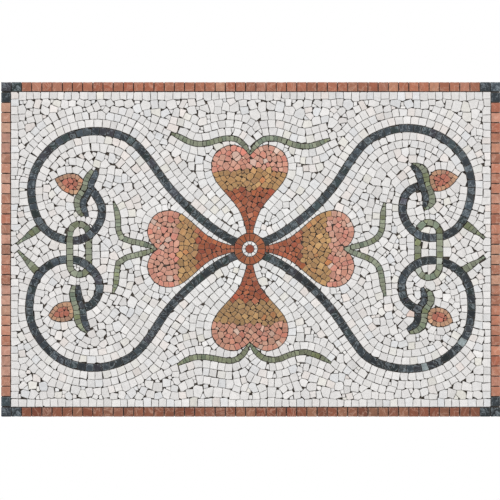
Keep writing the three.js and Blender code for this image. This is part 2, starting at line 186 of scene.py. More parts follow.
class MosaicLaying(bpy.types.PropertyGroup):
    """Sizes of the tesserae and of the joints between them."""

    ground_size: extent("Ground tessera", "Side of a white tessera", 9.3 * MM)
    scroll_size: extent("Scroll tessera", "Length of a dark tessera along its scroll", 9.4 * MM)
    link_size: extent("Link tessera", "Length of a green tessera along its link", 7.4 * MM)
    green_size: extent("Tendril tessera", "Length of a green tessera along its tendril", 5.6 * MM)
    heart_size: extent("Heart tessera", "Side of a tessera in a heart", 6.2 * MM)
    bud_size: extent("Bud tessera", "Length of a tessera round a bud", 5.2 * MM)
    bud_rim: extent("Bud rim", "Width of the row of tesserae round a bud", 5 * MM)
    bud_core: extent("Bud core", "Size of a tessera in the middle of a bud", 6 * MM)
    joint: extent("Joint", "Open joint between two tesserae", 0.36 * MM)
    scroll_joint: extent("Scroll joint", "Joint between two tesserae of a scroll or the roundel", 0.55 * MM)
    fine_joint: extent("Fine joint", "Joint between two tesserae of a link, tendril or bud", 0.36 * MM)
    border_joint: extent("Border joint", "Joint between two tesserae of the border", 0.62 * MM)
    bevel: extent("Bevel", "Width of the bruised edge round a tessera's face", 0.28 * MM)
    lift: extent("Lift", "How far a tessera's face may lie below the panel's face", 0.22 * MM)
    chip: extent("Chip", "Longest piece that is broken off a corner", 1 * MM)
    slant: setting("Float", "Slant", "Rise of a face over its width", 0.012, min=0)
    turn: setting("Float", "Turn", "How far hand-cut sides stray from square, in degrees", 4.0, min=0)
    along: setting("Int", "Along", "Border tesserae along the panel", 49, min=3)
    up: setting("Int", "Up", "Border tesserae up the panel", 33, min=3)
    mesh_size: extent("Mesh", "Distance between two strands of the net", 6 * MM)
    strand: extent("Strand", "Thickness of a strand of the net", 0.55 * MM)


class MosaicColours(bpy.types.PropertyGroup):
    """The usual colour of each stone, and of the net and its adhesive."""

    __annotations__ = {
        title: setting("FloatVector", title.replace("_", " ").capitalize(), "The usual colour", colour,
                       subtype="COLOR", size=3, min=0, max=1)
        for title, colour in (
            *((stone, look["usual"]) for stone, look in STONES.items()),
            ("net", linear(226, 224, 214)), ("adhesive", linear(206, 199, 182)))
    }


class MosaicStage(bpy.types.PropertyGroup):
    """The camera, the lights and the floor."""

    lens: setting("Float", "Lens", "Focal length", 100, unit="CAMERA")
    width: setting("Float", "Width", "How much of the panel's plane is seen from side to side", 0.6006,
                   unit="LENGTH", precision=4)
    key: setting("Float", "Key", "Power of the main light", 40, unit="POWER")
    fill: setting("Float", "Fill", "Power of the second light", 17, unit="POWER")
    sky: setting("Float", "Sky", "Strength of the light from all round", 0.5)
    drop: setting("Float", "Drop", "How far the floor lies below the panel", 0.3, unit="LENGTH")


# Outlines


CORNER = math.radians(38)  # an outline that turns more than this has a corner there
SPACING = 0.8 * MM  # between two points of an outline
LEAST_POINTS = 12  # that an outline has
TOUCHING = 1.3 * MM  # two nodes of one form touch where their outlines are nearer than this
FACING = -0.2  # two parts of an outline face each other when their directions' product is below this
ENDLESS = 1.0  # the room at a point that nothing faces
BLOCK = 400  # points that are measured against all others in one go


def back_loops(node):
    """The closed outlines of a node's stone, with the stone on the left of each as seen from the front:
    the sides of the flat triangles of its back that no other triangle of the back shares."""
    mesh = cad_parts[node].data
    mesh.calc_loop_triangles()
    places = np.empty(len(mesh.vertices) * 3, np.float32)
    mesh.vertices.foreach_get("co", places)
    places = places.reshape(-1, 3).astype(float)
    triangles = np.empty(len(mesh.loop_triangles) * 3, np.int32)
    mesh.loop_triangles.foreach_get("vertices", triangles)
    triangles = triangles.reshape(-1, 3)
    back = triangles[(np.abs(places[triangles, 1] - places[:, 1].max()) < WELD).all(1)]
    corners, merged = np.unique(np.round(places[:, [0, 2]] / WELD), axis=0, return_inverse=True)
    faces = merged.reshape(-1)[back]
    sides = np.concatenate([faces[:, [1, 0]], faces[:, [2, 1]], faces[:, [0, 2]]])
    ahead = sides @ [len(corners), 1]
    astern = sides @ [1, len(corners)]
    following = dict(sides[~np.isin(ahead, astern)].tolist())
    loops = []
    while following:
        start, at = following.popitem()
        loop = [start]
        while at != start:
            loop.append(at)
            at = following.pop(at)
        loops.append(corners[loop] * WELD)
    return loops


def softened(loop, rounds=2):
    """A closed outline whose gentle corners are cut: each gives way to two points, a quarter of the way
    along the sides that meet in it. Sharp corners stay."""
    for _ in range(rounds):
        arriving, leaving = loop - np.roll(loop, 1, 0), np.roll(loop, -1, 0) - loop
        across = arriving[:, 0] * leaving[:, 1] - arriving[:, 1] * leaving[:, 0]
        sharp = np.abs(np.arctan2(across, (arriving * leaving).sum(1))) > CORNER
        first = np.where(sharp[:, None], loop, loop - arriving / 4)
        pairs = np.stack([first, loop + leaving / 4], 1)
        loop = pairs[np.stack([np.ones(len(loop), bool), ~sharp], 1)]
    return loop


def sampled(loop):
    """Points spaced evenly along a closed outline, and the direction at each square to it, to its left."""
    ahead = np.roll(loop, -1, 0) - loop
    lengths = np.linalg.norm(ahead, axis=1)
    along = np.concatenate([[0], np.cumsum(lengths)])
    count = max(LEAST_POINTS, round(along[-1] / SPACING))
    wanted = (np.arange(count) + 0.5) * along[-1] / count
    side = np.searchsorted(along, wanted, side="right") - 1
    points = loop[side] + ahead[side] * ((wanted - along[side]) / lengths[side])[:, None]
    direction = ahead[side] / lengths[side][:, None]
    return points, np.stack([-direction[:, 1], direction[:, 0]], 1)


def in_blocks(work, *arrays):
    """What a function gives for whole arrays, asked for a block of their rows at a time."""
    starts = range(0, max(1, len(arrays[0])), BLOCK)
    return np.concatenate([work(*(array[start:start + BLOCK] for array in arrays)) for start in starts])


def farness(points, others):
    """Squares of the distances from points to others, less a number of each point's own."""
    return (others ** 2).sum(1) - 2 * points @ others.T


def nearest(points, others):
    """For each point, which of the others is nearest and how far it is."""
    found = in_blocks(lambda part: farness(part, others).argmin(1), points)
    return found, np.linalg.norm(points - others[found], axis=1)


def contains(loops, places):
    """Whether each place lies inside closed loops: the sides that cross the level line to its right, at
    x₁ + (z - z₁)(x₂ - x₁) / (z₂ - z₁), are odd in number."""
    starts = np.concatenate(loops)
    ends = np.concatenate([np.roll(loop, -1, 0) for loop in loops])
    rise = ends[:, 1] - starts[:, 1]
    slope = (ends[:, 0] - starts[:, 0]) / np.where(rise == 0, 1, rise)

    def odd(part):
        x, z = part[:, :1], part[:, 1:]
        crosses = (starts[:, 1] > z) != (ends[:, 1] > z)
        return (crosses & (starts[:, 0] + (z - starts[:, 1]) * slope > x)).sum(1) % 2 == 1

    return in_blocks(odd, places)


class Outline:
    """The sampled outline of one form, which may be several nodes that touch: its `points` and the
    direction `inward` at each, `loops` as numbers of points, the node that owns each point, those of the
    form's `wall` rather than between two nodes, and `room`, the radius to which a circle that touches the
    outline at a point can grow inside the form."""

    def __init__(self, nodes):
        self.nodes = nodes
        self.loops, found, owners = [], [], []
        for number, node in enumerate(nodes):
            for loop in back_loops(node):
                found.append(sampled(softened(loop)))
                self.loops.append(len(owners) + np.arange(len(found[-1][0])))
                owners += [number] * len(found[-1][0])
        self.points, self.inward = (np.concatenate(kind) for kind in zip(*found))
        self.owners = np.array(owners)
        self.solid = np.ones(len(owners), bool)
        for number in range(len(nodes) if len(nodes) > 1 else 0):
            mine = self.owners == number
            self.solid[mine] = nearest(self.points[mine], self.points[~mine])[1] > TOUCHING
        self.wall = self.points[self.solid]
        self.wall_inward = self.inward[self.solid]
        self.room = in_blocks(self.measured, self.points, self.inward)

    def measured(self, points, inward):
        """The least of |q - p|² / (2 (q - p)·n) over the outline's points q that face p, for each point p
        with its inward direction n."""
        gap = self.wall[None] - points[:, None]
        squares = (gap ** 2).sum(2)
        ahead = np.einsum("pqk,pk->pq", gap, inward)
        usable = (ahead > WELD) & (inward @ self.wall_inward.T < FACING)
        return np.where(usable, squares / np.where(usable, 2 * ahead, 1), ENDLESS).min(1)

    def depth(self, places):
        """How far places lie inside the form, below nothing outside it, and the direction away from the
        nearest part of its outline."""
        found, gap = nearest(places, self.wall)
        inside = contains([self.points[loop] for loop in self.loops], places)
        return np.where(inside, gap, -gap), self.wall_inward[found]

    def owner(self, places):
        """The number of the node that each place lies in, or else is nearest to."""
        owners = self.owners[nearest(places, self.points)[0]]
        for number in range(len(self.nodes)):
            loops = [self.points[loop] for loop in self.loops if self.owners[loop[0]] == number]
            owners = np.where(contains(loops, places), number, owners)
        return owners


# Sites of tesserae


STRETCH = 1.15  # a tessera may be this many times its usual width before a row becomes two
WIDE = 1.9  # a form with room for this many tesserae from its outline is wide
ENOUGH = 0.75  # a tessera this share of its usual width is laid before the narrower ones
LEAST = 1.1 * MM  # no tessera is narrower
STRAY = 0.15  # how far a tessera may stray along its row, as a share of its length
DEEP_ENOUGH = 0.9  # the middle of a row's tessera is at least this share of its distance from the outline
CLOSE = 0.7  # two tesserae that overlap by more than the rest of this share can't both be laid

# Tesserae between the rows and the fragments in the gaps that are left, by shares of their usual size
FILL_APART = 0.84  # the least distance from one to any other
FRAGMENT_APART = 0.8
FILL_DEPTH = 0.42  # how far inside the form its middle is at least
FRAGMENT_DEPTH = 0.3
FILL_TRIES = 14  # places that are tried in a square of its size
FRAGMENT_TRIES = 8
UNLIKE = 0.27  # how far its sides differ from the usual size
FILL_TURN = 0.35  # how far it turns at random, in radians


class Sites:
    """Where tesserae lie before they are cut to fit: `place`, the direction `across` their row, half their
    size along and across it, and their row, which is 0 for those between the rows."""

    def __init__(self):
        self.place = np.zeros((0, 2))
        self.across = np.zeros((0, 2))
        self.half = np.zeros((0, 2))
        self.row = np.zeros(0, int)

    def along(self):
        return np.stack([self.across[:, 1], -self.across[:, 0]], 1)

    def add(self, place, across, half, row):
        self.place = np.concatenate([self.place, [place]])
        self.across = np.concatenate([self.across, [across]])
        self.half = np.concatenate([self.half, [half]])
        self.row = np.append(self.row, row)

    def take(self, places, across, halves, row):
        """Adds the sites, in their order, that don't cover a site that is there already."""
        for spot, normal, half in zip(places, across, halves):
            gap = self.place - spot
            sideways = np.abs(gap @ [normal[1], -normal[0]]) / (self.half[:, 0] + half[0])
            outwards = np.abs(gap @ normal) / (self.half[:, 1] + half[1])
            if not ((sideways < CLOSE) & (outwards < CLOSE)).any():
                self.add(spot, normal, half, row)

    def scatter(self, places, across, distance, half):
        """Adds the sites, in their order, that are at least a distance from all others."""
        for spot, normal in zip(places, across):
            if (np.linalg.norm(self.place - spot, axis=1) > distance).all():
                self.add(spot, normal, half(), 0)


def stops(outline, offset, step, usable, chance):
    """Points of an outline that stand one step apart once they are carried inwards by the offset, run by
    run of the usable points, with the step stretched so that it fits each run a whole number of times and
    each point a little off its place."""
    carried = outline.points + outline.inward * offset[:, None]
    chosen = [np.zeros(0, int)]
    for loop in outline.loops:
        good = usable[loop]
        closed = good.all()
        first = 0 if closed else int(np.flatnonzero(~good)[0])
        loop, good = np.roll(loop, -first), np.roll(good, -first)
        lengths = np.linalg.norm(np.roll(carried[loop], -1, 0) - carried[loop], axis=1) / step[loop]
        ends = np.flatnonzero(np.diff(np.concatenate([[0], good.astype(int), [0]])))
        for start, end in ends.reshape(-1, 2):
            along = np.concatenate([[0], np.cumsum(lengths[start:end - 1])])
            if closed:
                count = max(3, round(along[-1]))
                wanted = np.arange(count) * along[-1] / count
            else:
                count = round(along[-1])
                wanted = np.linspace(0, along[-1], count + 1) if count else along[-1:] / 2
            wanted = wanted + chance.uniform(-STRAY, STRAY, len(wanted))
            spot = start + np.searchsorted(along, wanted).clip(max=end - start - 1)
            chosen.append(loop[spot])
    return np.concatenate(chosen)


def unit(vectors):
    """The directions of vectors, and their lengths."""
    lengths = np.linalg.norm(vectors, axis=-1)
    return vectors / np.maximum(lengths, WELD)[..., None], lengths


def turned(directions, angles):
    """Directions turned by angles: (x cos a - z sin a, x sin a + z cos a)."""
    cos, sin = np.cos(angles), np.sin(angles)
    x, z = directions[..., 0], directions[..., 1]
    return np.stack([x * cos - z * sin, x * sin + z * cos], -1)


def tried(outline, size, tries, least, chance):
    """Random places at least a share of the size inside a form, and the direction away from its outline."""
    low, high = outline.points.min(0), outline.points.max(0)
    places = low + chance.random((int(tries * np.prod(high - low) / size ** 2), 2)) * (high - low)
    depth, across = outline.depth(places)
    fits = depth > least * size
    return places[fits], across[fits]


def laid(outline, size, length, rows, fill, chance):
    """Sites in rows along an outline, the broad ones first, and then between the rows. A form that is
    too narrow for whole tesserae has its width shared evenly by the rows that fit it. A straight side
    that bounds the whole form has one row."""
    sites = Sites()
    room = np.minimum(outline.room, WIDE * size)
    across = np.maximum(1, np.ceil(2 * room / (STRETCH * size) - WELD))
    width = np.where(outline.room >= WIDE * size, size, 2 * room / across)
    step = length * (1 + width / size) / 2
    broad = width >= ENOUGH * size
    low, high = outline.points.min(0), outline.points.max(0)
    straight = np.minimum(outline.points - low, high - outline.points).min(1) < WELD
    for row in range(1, rows + 1):
        offset = (row - 0.5) * width
        depth, _ = outline.depth(outline.points + outline.inward * offset[:, None])
        fits = outline.solid & (width > LEAST) & (depth > DEEP_ENOUGH * offset) & (~straight | (row == 1))
        for usable in (fits & broad, fits & ~broad):
            found = stops(outline, offset, step, usable, chance)
            place = outline.points[found] + outline.inward[found] * offset[found][:, None]
            sites.take(place, outline.inward[found], np.stack([step[found], width[found]], 1) / 2, row)
    if fill:
        places, across = tried(outline, fill, FILL_TRIES, FILL_DEPTH, chance)
        across = turned(across, chance.normal(0, FILL_TURN, len(places)))
        sites.scatter(places, across, FILL_APART * fill,
                      lambda: fill / 2 * chance.uniform(1 - UNLIKE, 1 + UNLIKE, 2))
    return sites


# Tesserae as flat outlines


SLOTS = 22  # corners that the outline of a tessera may have while it is cut
NEIGHBOURS = 16
NEAR_WALL = 48  # points of the form's outline that one tessera is cut along
WALL_CUTS = 7  # and the most cuts that are made along them
INTO = 0.04 * MM  # the outline lies inside a tessera when it is this far in
SQUARE_ON = 0.35  # it is cut along its own direction where that faces the tessera by this share
ROW_SLACK = 1.45  # a tessera of a row is split this much larger than its site, and then cut back to fit
LOOSE_SLACK = 2.2  # and one between the rows this much
LOOSE_LEAN = 0.35  # how far a cut beside such a tessera leans to lie square between the two middles
JOINT_SPREAD = 0.45  # how much a joint varies in width, as a share of it
JOINT_SHIFT = 0.3  # and how far it lies off its place
SETTLE_ROUNDS = 5
SETTLE = 0.8  # share of the way to its middle that a tessera moves in a round
FRAGMENT_NEAR = 6  # tesserae that a fragment has to be free of
FRAGMENT_ROOM = 0.22  # how far it is from them, as a share of its size
CHIP_SHARE = 0.2  # the most of a corner's distance from the middle that a chip takes
PRESSED = 0.03  # how far the middle of a side is pressed in, as a share of the side
LONG_SIDE = 3 * MM  # a side longer than this is uneven
LEAST_SIDE = 1.2 * MM  # a tessera smaller than a square of this side is left out
PATTERN = (12.9898, 78.233, 43758.5453)  # large factors that make sines of whole numbers look random


def following_slots(counts, slots):
    """Which slots of each shape are in use, and for each slot the one of the next corner."""
    slot = np.arange(slots)
    return slot < counts[:, None], np.where(slot + 1 < counts[:, None], slot + 1, 0)


def packed(corners, kept, slots):
    """Shapes with the kept corners moved to their first slots, and how many each has."""
    order = np.argsort(~kept, axis=1, kind="stable")[:, :slots]
    return np.take_along_axis(corners, order[..., None], 1), kept.sum(1).clip(max=slots)


def cut(shapes, counts, normals, limits):
    """Every shape cut along its own straight line: the part stays whose corners c have n·c at most the
    limit, and each side that crosses the line gets a corner there, at the share over / (over - next)."""
    total, slots = shapes.shape[:2]
    real, following = following_slots(counts, slots)
    after = np.take_along_axis(shapes, following[..., None], 1)
    over = np.einsum("nmk,nk->nm", shapes, normals) - limits[:, None]
    over_after = np.take_along_axis(over, following, 1)
    crosses = real & ((over <= 0) != (over_after <= 0))
    share = over / np.where(crosses, over - over_after, 1)
    met = shapes + (after - shapes) * share[..., None]
    both = np.stack([shapes, met], 2).reshape(total, 2 * slots, 2)
    return packed(both, np.stack([real & (over <= 0), crosses], 2).reshape(total, 2 * slots), slots)


def sides(shapes, counts):
    """Where each slot's side starts and ends. Unused slots are on the first corner, so that sums over
    slots are right."""
    real = np.arange(shapes.shape[1]) < counts[:, None]
    starts = np.where(real[..., None], shapes, shapes[:, :1])
    return starts, np.roll(starts, -1, 1)


def areas_and_middles(shapes, counts):
    """Area by half the sum of x₁z₂ - x₂z₁ over the sides, and centroid by its weighted mean."""
    starts, ends = sides(shapes, counts)
    cross = starts[..., 0] * ends[..., 1] - ends[..., 0] * starts[..., 1]
    area = cross.sum(1) / 2
    safe = np.where(np.abs(area) > WELD ** 2, area, 1)
    return area, ((starts + ends) * cross[..., None]).sum(1) / (6 * safe)[:, None]


def alike(first, second, salt):
    """A number from -1 to 1 that both tesserae of a pair get alike, from the sine of their numbers."""
    low, high = np.minimum(first, second), np.maximum(first, second)
    return 2 * np.modf(np.abs(np.sin(low * PATTERN[0] + high * PATTERN[1] + salt) * PATTERN[2]))[0] - 1


def parted(sites, joint, turn):
    """The lines that part each tessera from its neighbours: square to whichever side of the two faces
    the other best, leaning where one is loose, at a distance shared by their sizes, less half the joint,
    and a little askew."""
    total = len(sites.place)
    gaps = ((sites.place[:, None] - sites.place[None]) ** 2).sum(2)
    np.fill_diagonal(gaps, np.inf)
    near = np.argsort(gaps, axis=1)[:, :min(NEIGHBOURS, total - 1)]
    mine = np.broadcast_to(np.arange(total)[:, None], near.shape)
    axes = np.stack([sites.across, sites.along()], 1)
    own, their = axes[mine], axes[near]
    first = (mine < near)[..., None, None]
    choices = np.concatenate([np.where(first, own, their), np.where(first, their, own)], 2)
    gap = sites.place[near] - sites.place[:, None]
    facing = np.einsum("nkcd,nkd->nkc", choices, gap)
    best = np.abs(facing).argmax(2)[..., None]
    normal = np.take_along_axis(choices, best[..., None], 2)[:, :, 0]
    normal = normal * np.sign(np.take_along_axis(facing, best, 2))
    loose = (sites.row[mine] == 0) | (sites.row[near] == 0)
    normal = normal + gap * (LOOSE_LEAN * loose / np.linalg.norm(gap, axis=2))[..., None]
    normal /= np.linalg.norm(normal, axis=2)[..., None]

    def reach(which):
        width = np.abs(np.einsum("nkcd,nkd->nkc", axes[which], normal))
        return width[..., 0] * sites.half[which][..., 1] + width[..., 1] * sites.half[which][..., 0]

    share = reach(mine) / (reach(mine) + reach(near))
    point = sites.place[:, None] + gap * share[..., None]
    normal = turned(normal, math.radians(turn) * alike(mine, near, 1))
    half_joint = joint / 2 * (1 + JOINT_SPREAD * alike(mine, near, 2))
    shift = JOINT_SHIFT * joint * alike(mine, near, 3) * np.where(mine < near, 1, -1)
    return normal, (normal * point).sum(2) - half_joint + shift


def walled(shapes, counts, sites, outline):
    """Tesserae cut back to their form: again and again, along the nearest point of the form's outline
    that still lies inside the tessera, until none does."""
    count = min(NEAR_WALL, len(outline.wall))
    near = in_blocks(lambda part: farness(part, outline.wall).argsort(1)[:, :count], sites.place)
    points, inward = outline.wall[near], outline.wall_inward[near]
    outward, far = unit(points - sites.place[:, None])
    straight = -(inward * outward).sum(2) > SQUARE_ON
    normals = np.where(straight[..., None], -inward, outward)
    rows = np.arange(len(points))
    for _ in range(WALL_CUTS):
        starts, ends = sides(shapes, counts)
        side = ends - starts
        length = np.linalg.norm(side, axis=2)[:, None]
        offset = points[:, :, None] - starts[:, None]
        cross = side[:, None, :, 0] * offset[..., 1] - side[:, None, :, 1] * offset[..., 0]
        within = np.where(length > WELD, cross / np.maximum(length, WELD), 1)
        inside = (within > INTO).all(2) & (counts > 2)[:, None]
        pick = np.where(inside, far, np.inf).argmin(1)
        hit = inside[rows, pick]
        normal = normals[rows, pick]
        limit = np.where(hit, (normal * points[rows, pick]).sum(1), 1)
        shapes, counts = cut(shapes, counts, np.where(hit[:, None], normal, 0), limit)
    return shapes, counts


def split(sites, outline, joint, turn):
    """The sites' rectangles cut to fit each other and their form."""
    slack = np.where(sites.row, ROW_SLACK, LOOSE_SLACK)[:, None]
    along = sites.along() * sites.half[:, :1] * slack
    across = sites.across * sites.half[:, 1:] * slack
    corners = np.stack([-along - across, along - across, along + across, across - along], 1)
    shapes, counts = slotted(sites.place[:, None] + corners)
    if len(corners) > 1:
        normals, limits = parted(sites, joint, turn)
        for k in range(normals.shape[1]):
            shapes, counts = cut(shapes, counts, normals[:, k], limits[:, k])
    return walled(shapes, counts, sites, outline)


def slotted(corners):
    """Shapes that all have the same number of corners, in as many slots as cut shapes have."""
    shapes = np.zeros((len(corners), SLOTS, 2))
    shapes[:, :corners.shape[1]] = corners
    return shapes, np.full(len(corners), corners.shape[1])


def settle(sites, outline, joint, turn):
    """Moves the sites between the rows, each to the middle of the piece that it is cut to."""
    loose = sites.row == 0
    for _ in range(SETTLE_ROUNDS if loose.any() else 0):
        shapes, counts = split(sites, outline, joint, turn)
        move = loose & (counts > 2)
        sites.place[move] += SETTLE * (areas_and_middles(shapes, counts)[1] - sites.place)[move]


def add_fragments(sites, shapes, counts, outline, size, seed):
    """Adds sites of small fragments in the places that no tessera covers."""
    tries, across = tried(outline, size, FRAGMENT_TRIES, FRAGMENT_DEPTH, np.random.default_rng(seed))
    starts, ends = sides(shapes, counts)
    side, length = unit(ends - starts)
    out = np.stack([side[..., 1], -side[..., 0]], 2)
    free = np.full(len(tries), np.inf)
    near = np.argsort(((tries[:, None] - sites.place[None]) ** 2).sum(2), axis=1)[:, :FRAGMENT_NEAR]
    for which in near.T:
        over = (out[which] * (tries[:, None] - starts[which])).sum(2)
        over = np.where(length[which] > WELD, over, -1).max(1)
        free = np.minimum(free, np.where(counts[which] > 2, over, size))
    fits = free > FRAGMENT_ROOM * size
    sites.scatter(tries[fits], across[fits], FRAGMENT_APART * size, lambda: np.full(2, size / 2))


def chipped(shapes, counts, middle, chip, chance):
    """A corner of some tesserae broken off, square to the line from the middle to it."""
    corner = (chance.random(len(counts)) * counts).astype(int)
    direction, reach = unit(shapes[np.arange(len(counts)), corner] - middle)
    loss = np.minimum(chip * chance.random(len(counts)) ** 2, CHIP_SHARE * reach)
    return cut(shapes, counts, direction, (direction * middle).sum(1) + reach - loss)


def worn(shapes, counts, middle, chips, chance):
    """Tesserae with chips of up to these sizes broken off one after another, and a further corner in the
    middle of each long side, pressed a little inwards, as stone breaks."""
    for chip in chips:
        shapes, counts = chipped(shapes, counts, middle, chip, chance)
    starts, ends = sides(shapes, counts)
    length = np.linalg.norm(ends - starts, axis=2)
    half = (starts + ends) / 2
    inwards, _ = unit(middle[:, None] - half)
    half = half + inwards * (chance.random(length.shape) * PRESSED * length)[..., None]
    both = np.stack([starts, half], 2).reshape(len(starts), -1, 2)
    real = following_slots(counts, shapes.shape[1])[0]
    kept = np.stack([real, real & (length > LONG_SIDE)], 2).reshape(len(both), -1)
    return packed(both, kept, both.shape[1])


# Tesserae as meshes


INSET = 0.9 * MM  # the bruised zone inside a tessera's edge
INSET_SHARE = 0.35  # the most of a corner's distance from the middle that a ring lies inside it
SAG = 0.02 * MM  # how far the bruised zone's outer side lies below the face
TAPER = 0.25 * MM  # how much smaller a tessera is at its back
BACK_BEVEL = 0.15 * MM  # depth of the bevel round its back
BACK_INSET = 0.2 * MM  # and its width
OUTER_ZONE = 0.4 * MM  # corners nearer than this to the panel's edge have little dirt and painted shade
OUTER_DIRT_AND_SHADE = 0.15
BLOCK_REACH = 2  # metres of marble that the tesserae are cut from
CENTRE_REACH = 115 * MM  # how far from the middle of the panel a stone's "centre" colour reaches
CENTRE_SHARE = 0.8  # and its share there
LEANING = (0.4, 1)  # how far a tessera goes towards a colour that it leans to
NOT_LEANING = (0, 0.15)
BRIGHTEST = 0.95
CORE_SPREAD = 0.1  # how much the middle of a bud varies from light to dark


def new_piece(name, places, loops, sizes, material, slot, replaces=(), values=()):
    """A mesh from its places, its faces' corners one after another and the size of each face, with its
    material and its values per place. It rides on the panel and takes the place of the nodes."""
    mesh = bpy.data.meshes.new(name)
    mesh.vertices.add(len(places))
    mesh.vertices.foreach_set("co", np.asarray(places, np.float32).ravel())
    mesh.loops.add(len(loops))
    mesh.polygons.add(len(sizes))
    mesh.polygons.foreach_set("loop_start", (np.cumsum(sizes) - sizes).astype(np.int32))
    mesh.polygons.foreach_set("vertices", np.asarray(loops, np.int32))
    mesh.update(calc_edges=True)
    for title, value in dict(values).items():
        kind, field = ("FLOAT", "value") if value.ndim == 1 else ("FLOAT_VECTOR", "vector")
        layer = mesh.attributes.new(title, kind, "POINT")
        layer.data.foreach_set(field, np.asarray(value, np.float32).ravel())
    mesh.materials.append(material)
    piece = bpy.data.objects.new(name, mesh)
    bpy.context.scene.collection.objects.link(piece)
    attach(piece, "root")
    if replaces:
        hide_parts(*replaces)


def tesserae_piece(node, shapes, counts, colours, name=None, slot=None, seed=1):
    """Tesserae as closed prisms. From the front, each has a flat face, a bruised zone round it, a bevel,
    sides that taper to the back, and the back with a fine bevel of its own. They take the node's place,
    unless they have a name of their own."""
    settings = bpy.context.scene.mosaic_laying
    chance = np.random.default_rng(seed)
    good = counts > 2
    shapes, counts, colours = shapes[good], counts[good], colours[good]
    _, middle = areas_and_middles(shapes, counts)
    total = len(counts)
    corners = shapes[following_slots(counts, shapes.shape[1])[0]]
    size = len(corners)
    starts = np.cumsum(counts) - counts
    owner = np.repeat(np.arange(total), counts)
    order = np.arange(size)
    following = order + 1
    following[starts + counts - 1] = starts
    inwards, reach = unit(middle[owner] - corners)
    slope = chance.normal(0, settings.slant, (total, 2))
    lift = chance.random(total) ** 2 * settings.lift
    outer = (np.abs(corners) > HALF_PANEL - OUTER_ZONE).any(1)
    rings = [  # how far in, how far below the face or else the back, and how bruised, how deep in the joint for its dirt and painted shade, and how far back
        (INSET, 0.0, False, 0.0, 0.0, 0.0), (settings.bevel, SAG, False, 0.8, 0.0, 0.0),
        (0.0, settings.bevel, False, 1.0, 0.12, 0.0), (TAPER, -BACK_BEVEL, True, 0.0, 1.0, 0.0),
        (TAPER + BACK_INSET, 0.0, True, 0.0, 0.0, 1.0)]
    layers = []
    for inset, below, at_back, *traits in rings:
        flat = corners + inwards * np.minimum(inset, INSET_SHARE * reach)[:, None]
        tilt = ((flat - middle[owner]) * slope[owner]).sum(1)
        height = (STONE_BACK if at_back else np.maximum(FACE + lift[owner] + tilt, FACE)) + below
        traits = np.tile(traits, (size, 1))
        # Outer sides lie in no joint, so they get little of the painted joint shade and dirt.
        traits[outer, 1] *= OUTER_DIRT_AND_SHADE
        layers.append(np.column_stack([flat[:, 0], np.broadcast_to(height, size), flat[:, 1], traits]))
    places, traits = np.split(np.concatenate(layers), 2, 1)
    last = len(rings) - 1
    quads = [np.stack([k * size + order, (k + 1) * size + order, (k + 1) * size + following,
                       k * size + following], 1) for k in range(last)]
    flipped = starts[owner] + counts[owner] - 1 - (order - starts[owner])
    loops = np.concatenate([order, np.concatenate(quads).ravel(), last * size + flipped])
    sizes = np.concatenate([counts, np.full(last * size, 4), counts])
    everyone = np.tile(owner, len(rings))
    turn = chance.random(total) * 2 * math.pi
    shift = chance.random((total, 3)) * BLOCK_REACH
    own = turned(places[:, [0, 2]] - middle[everyone], turn[everyone])
    block = np.stack([own[:, 0], places[:, 1], own[:, 1]], 1) + shift[everyone]
    slot = slot or looked_up(STONE_OF, node)
    values = dict(zip(("edge", "sunk", "back"), traits.T), stone=colours[everyone], block=block)
    new_piece(name or f"{node}_tesserae", places, loops, sizes, stone_material(slot), slot,
              [] if name else [node], values)


def stone_colours(node, middle, chance, stone=None):
    """Colours of tesserae: the usual one drawn towards those that the stone leans to, lighter or darker
    by a factor e^(spread × normal), with the single stones that stand out."""
    stone = stone or looked_up(STONE_OF, node)
    look = STONES[stone]
    count = len(middle)
    colours = np.tile(np.array(getattr(bpy.context.scene.mosaic_colours, stone)), (count, 1))
    nearby = CENTRE_SHARE * np.exp(-(middle ** 2).sum(1) / CENTRE_REACH ** 2)[:, None]
    colours += np.subtract(look["centre"], look["usual"]) * nearby
    for other, often in look["leans"]:
        leans = chance.random(count) < often
        share = np.where(leans, chance.uniform(*LEANING, count), chance.uniform(*NOT_LEANING, count))
        colours += (np.array(other) - colours) * share[:, None]
    colours *= np.exp(chance.normal(0, look["spread"], count))[:, None] * looked_up(TONES, node, 1.0)
    for place, colour in SINGLE_STONES.get(stone, []):
        gap = np.linalg.norm(middle - np.array(place) * MM, axis=1)
        if gap.size and gap.min() < SINGLE_REACH:
            colours[gap.argmin()] = colour
    return colours.clip(0, BRIGHTEST)


# Materials


# Each noise: its scale per metre, and its detail, roughness and distortion
CLOUDS = (170, 3.0, 0.55, 0.6)
VEINS = (55, 4.0, 0.6, 1.4)
CRYSTALS = (1600, 2.0, 0.6)
BRUISES = (420, 3.0, 0.6)
# patches in the dirt and painted shade of the joints
DIRT_AND_SHADE_PATCHES = (260, 3.0, 0.6)
SMEARS = (140, 4.0, 0.6)
LUMPS = (300, 3.0, 0.6)
NET_LUMPS = (240, 3.0, 0.6)
FLOOR_CLOUDS = (3, 3.0, 0.5)
MIDDLE = 0.5  # of what a noise gives
CONTRAST = 4.0  # how many times a stone's cloud or grain a noise from 0 to 1 changes its light
VEIN_WIDTH = 0.035  # how far the noise of the veins is from its middle at a vein's edge
BRUISE = 0.35  # how far a bruised edge goes towards its pale colour
PALER = 0.45  # and how far that lies from the stone's towards white
BRUISED = 0.35  # what is added to the noise of the bruises, so that more of an edge is bruised
BRUISE_WHITE = (0.86, 0.84, 0.80, 1.0)
BITE = -0.6  # the height of a bruised edge
PATCHY = 0.2  # how far the noise of the dirt thickens it
DIRT_AND_SHADE_SHARE = 0.85  # how far the noise thickens the dirt and painted shade
ROUGHER = 0.3  # and how much rougher it is there
SHEEN = 0.35
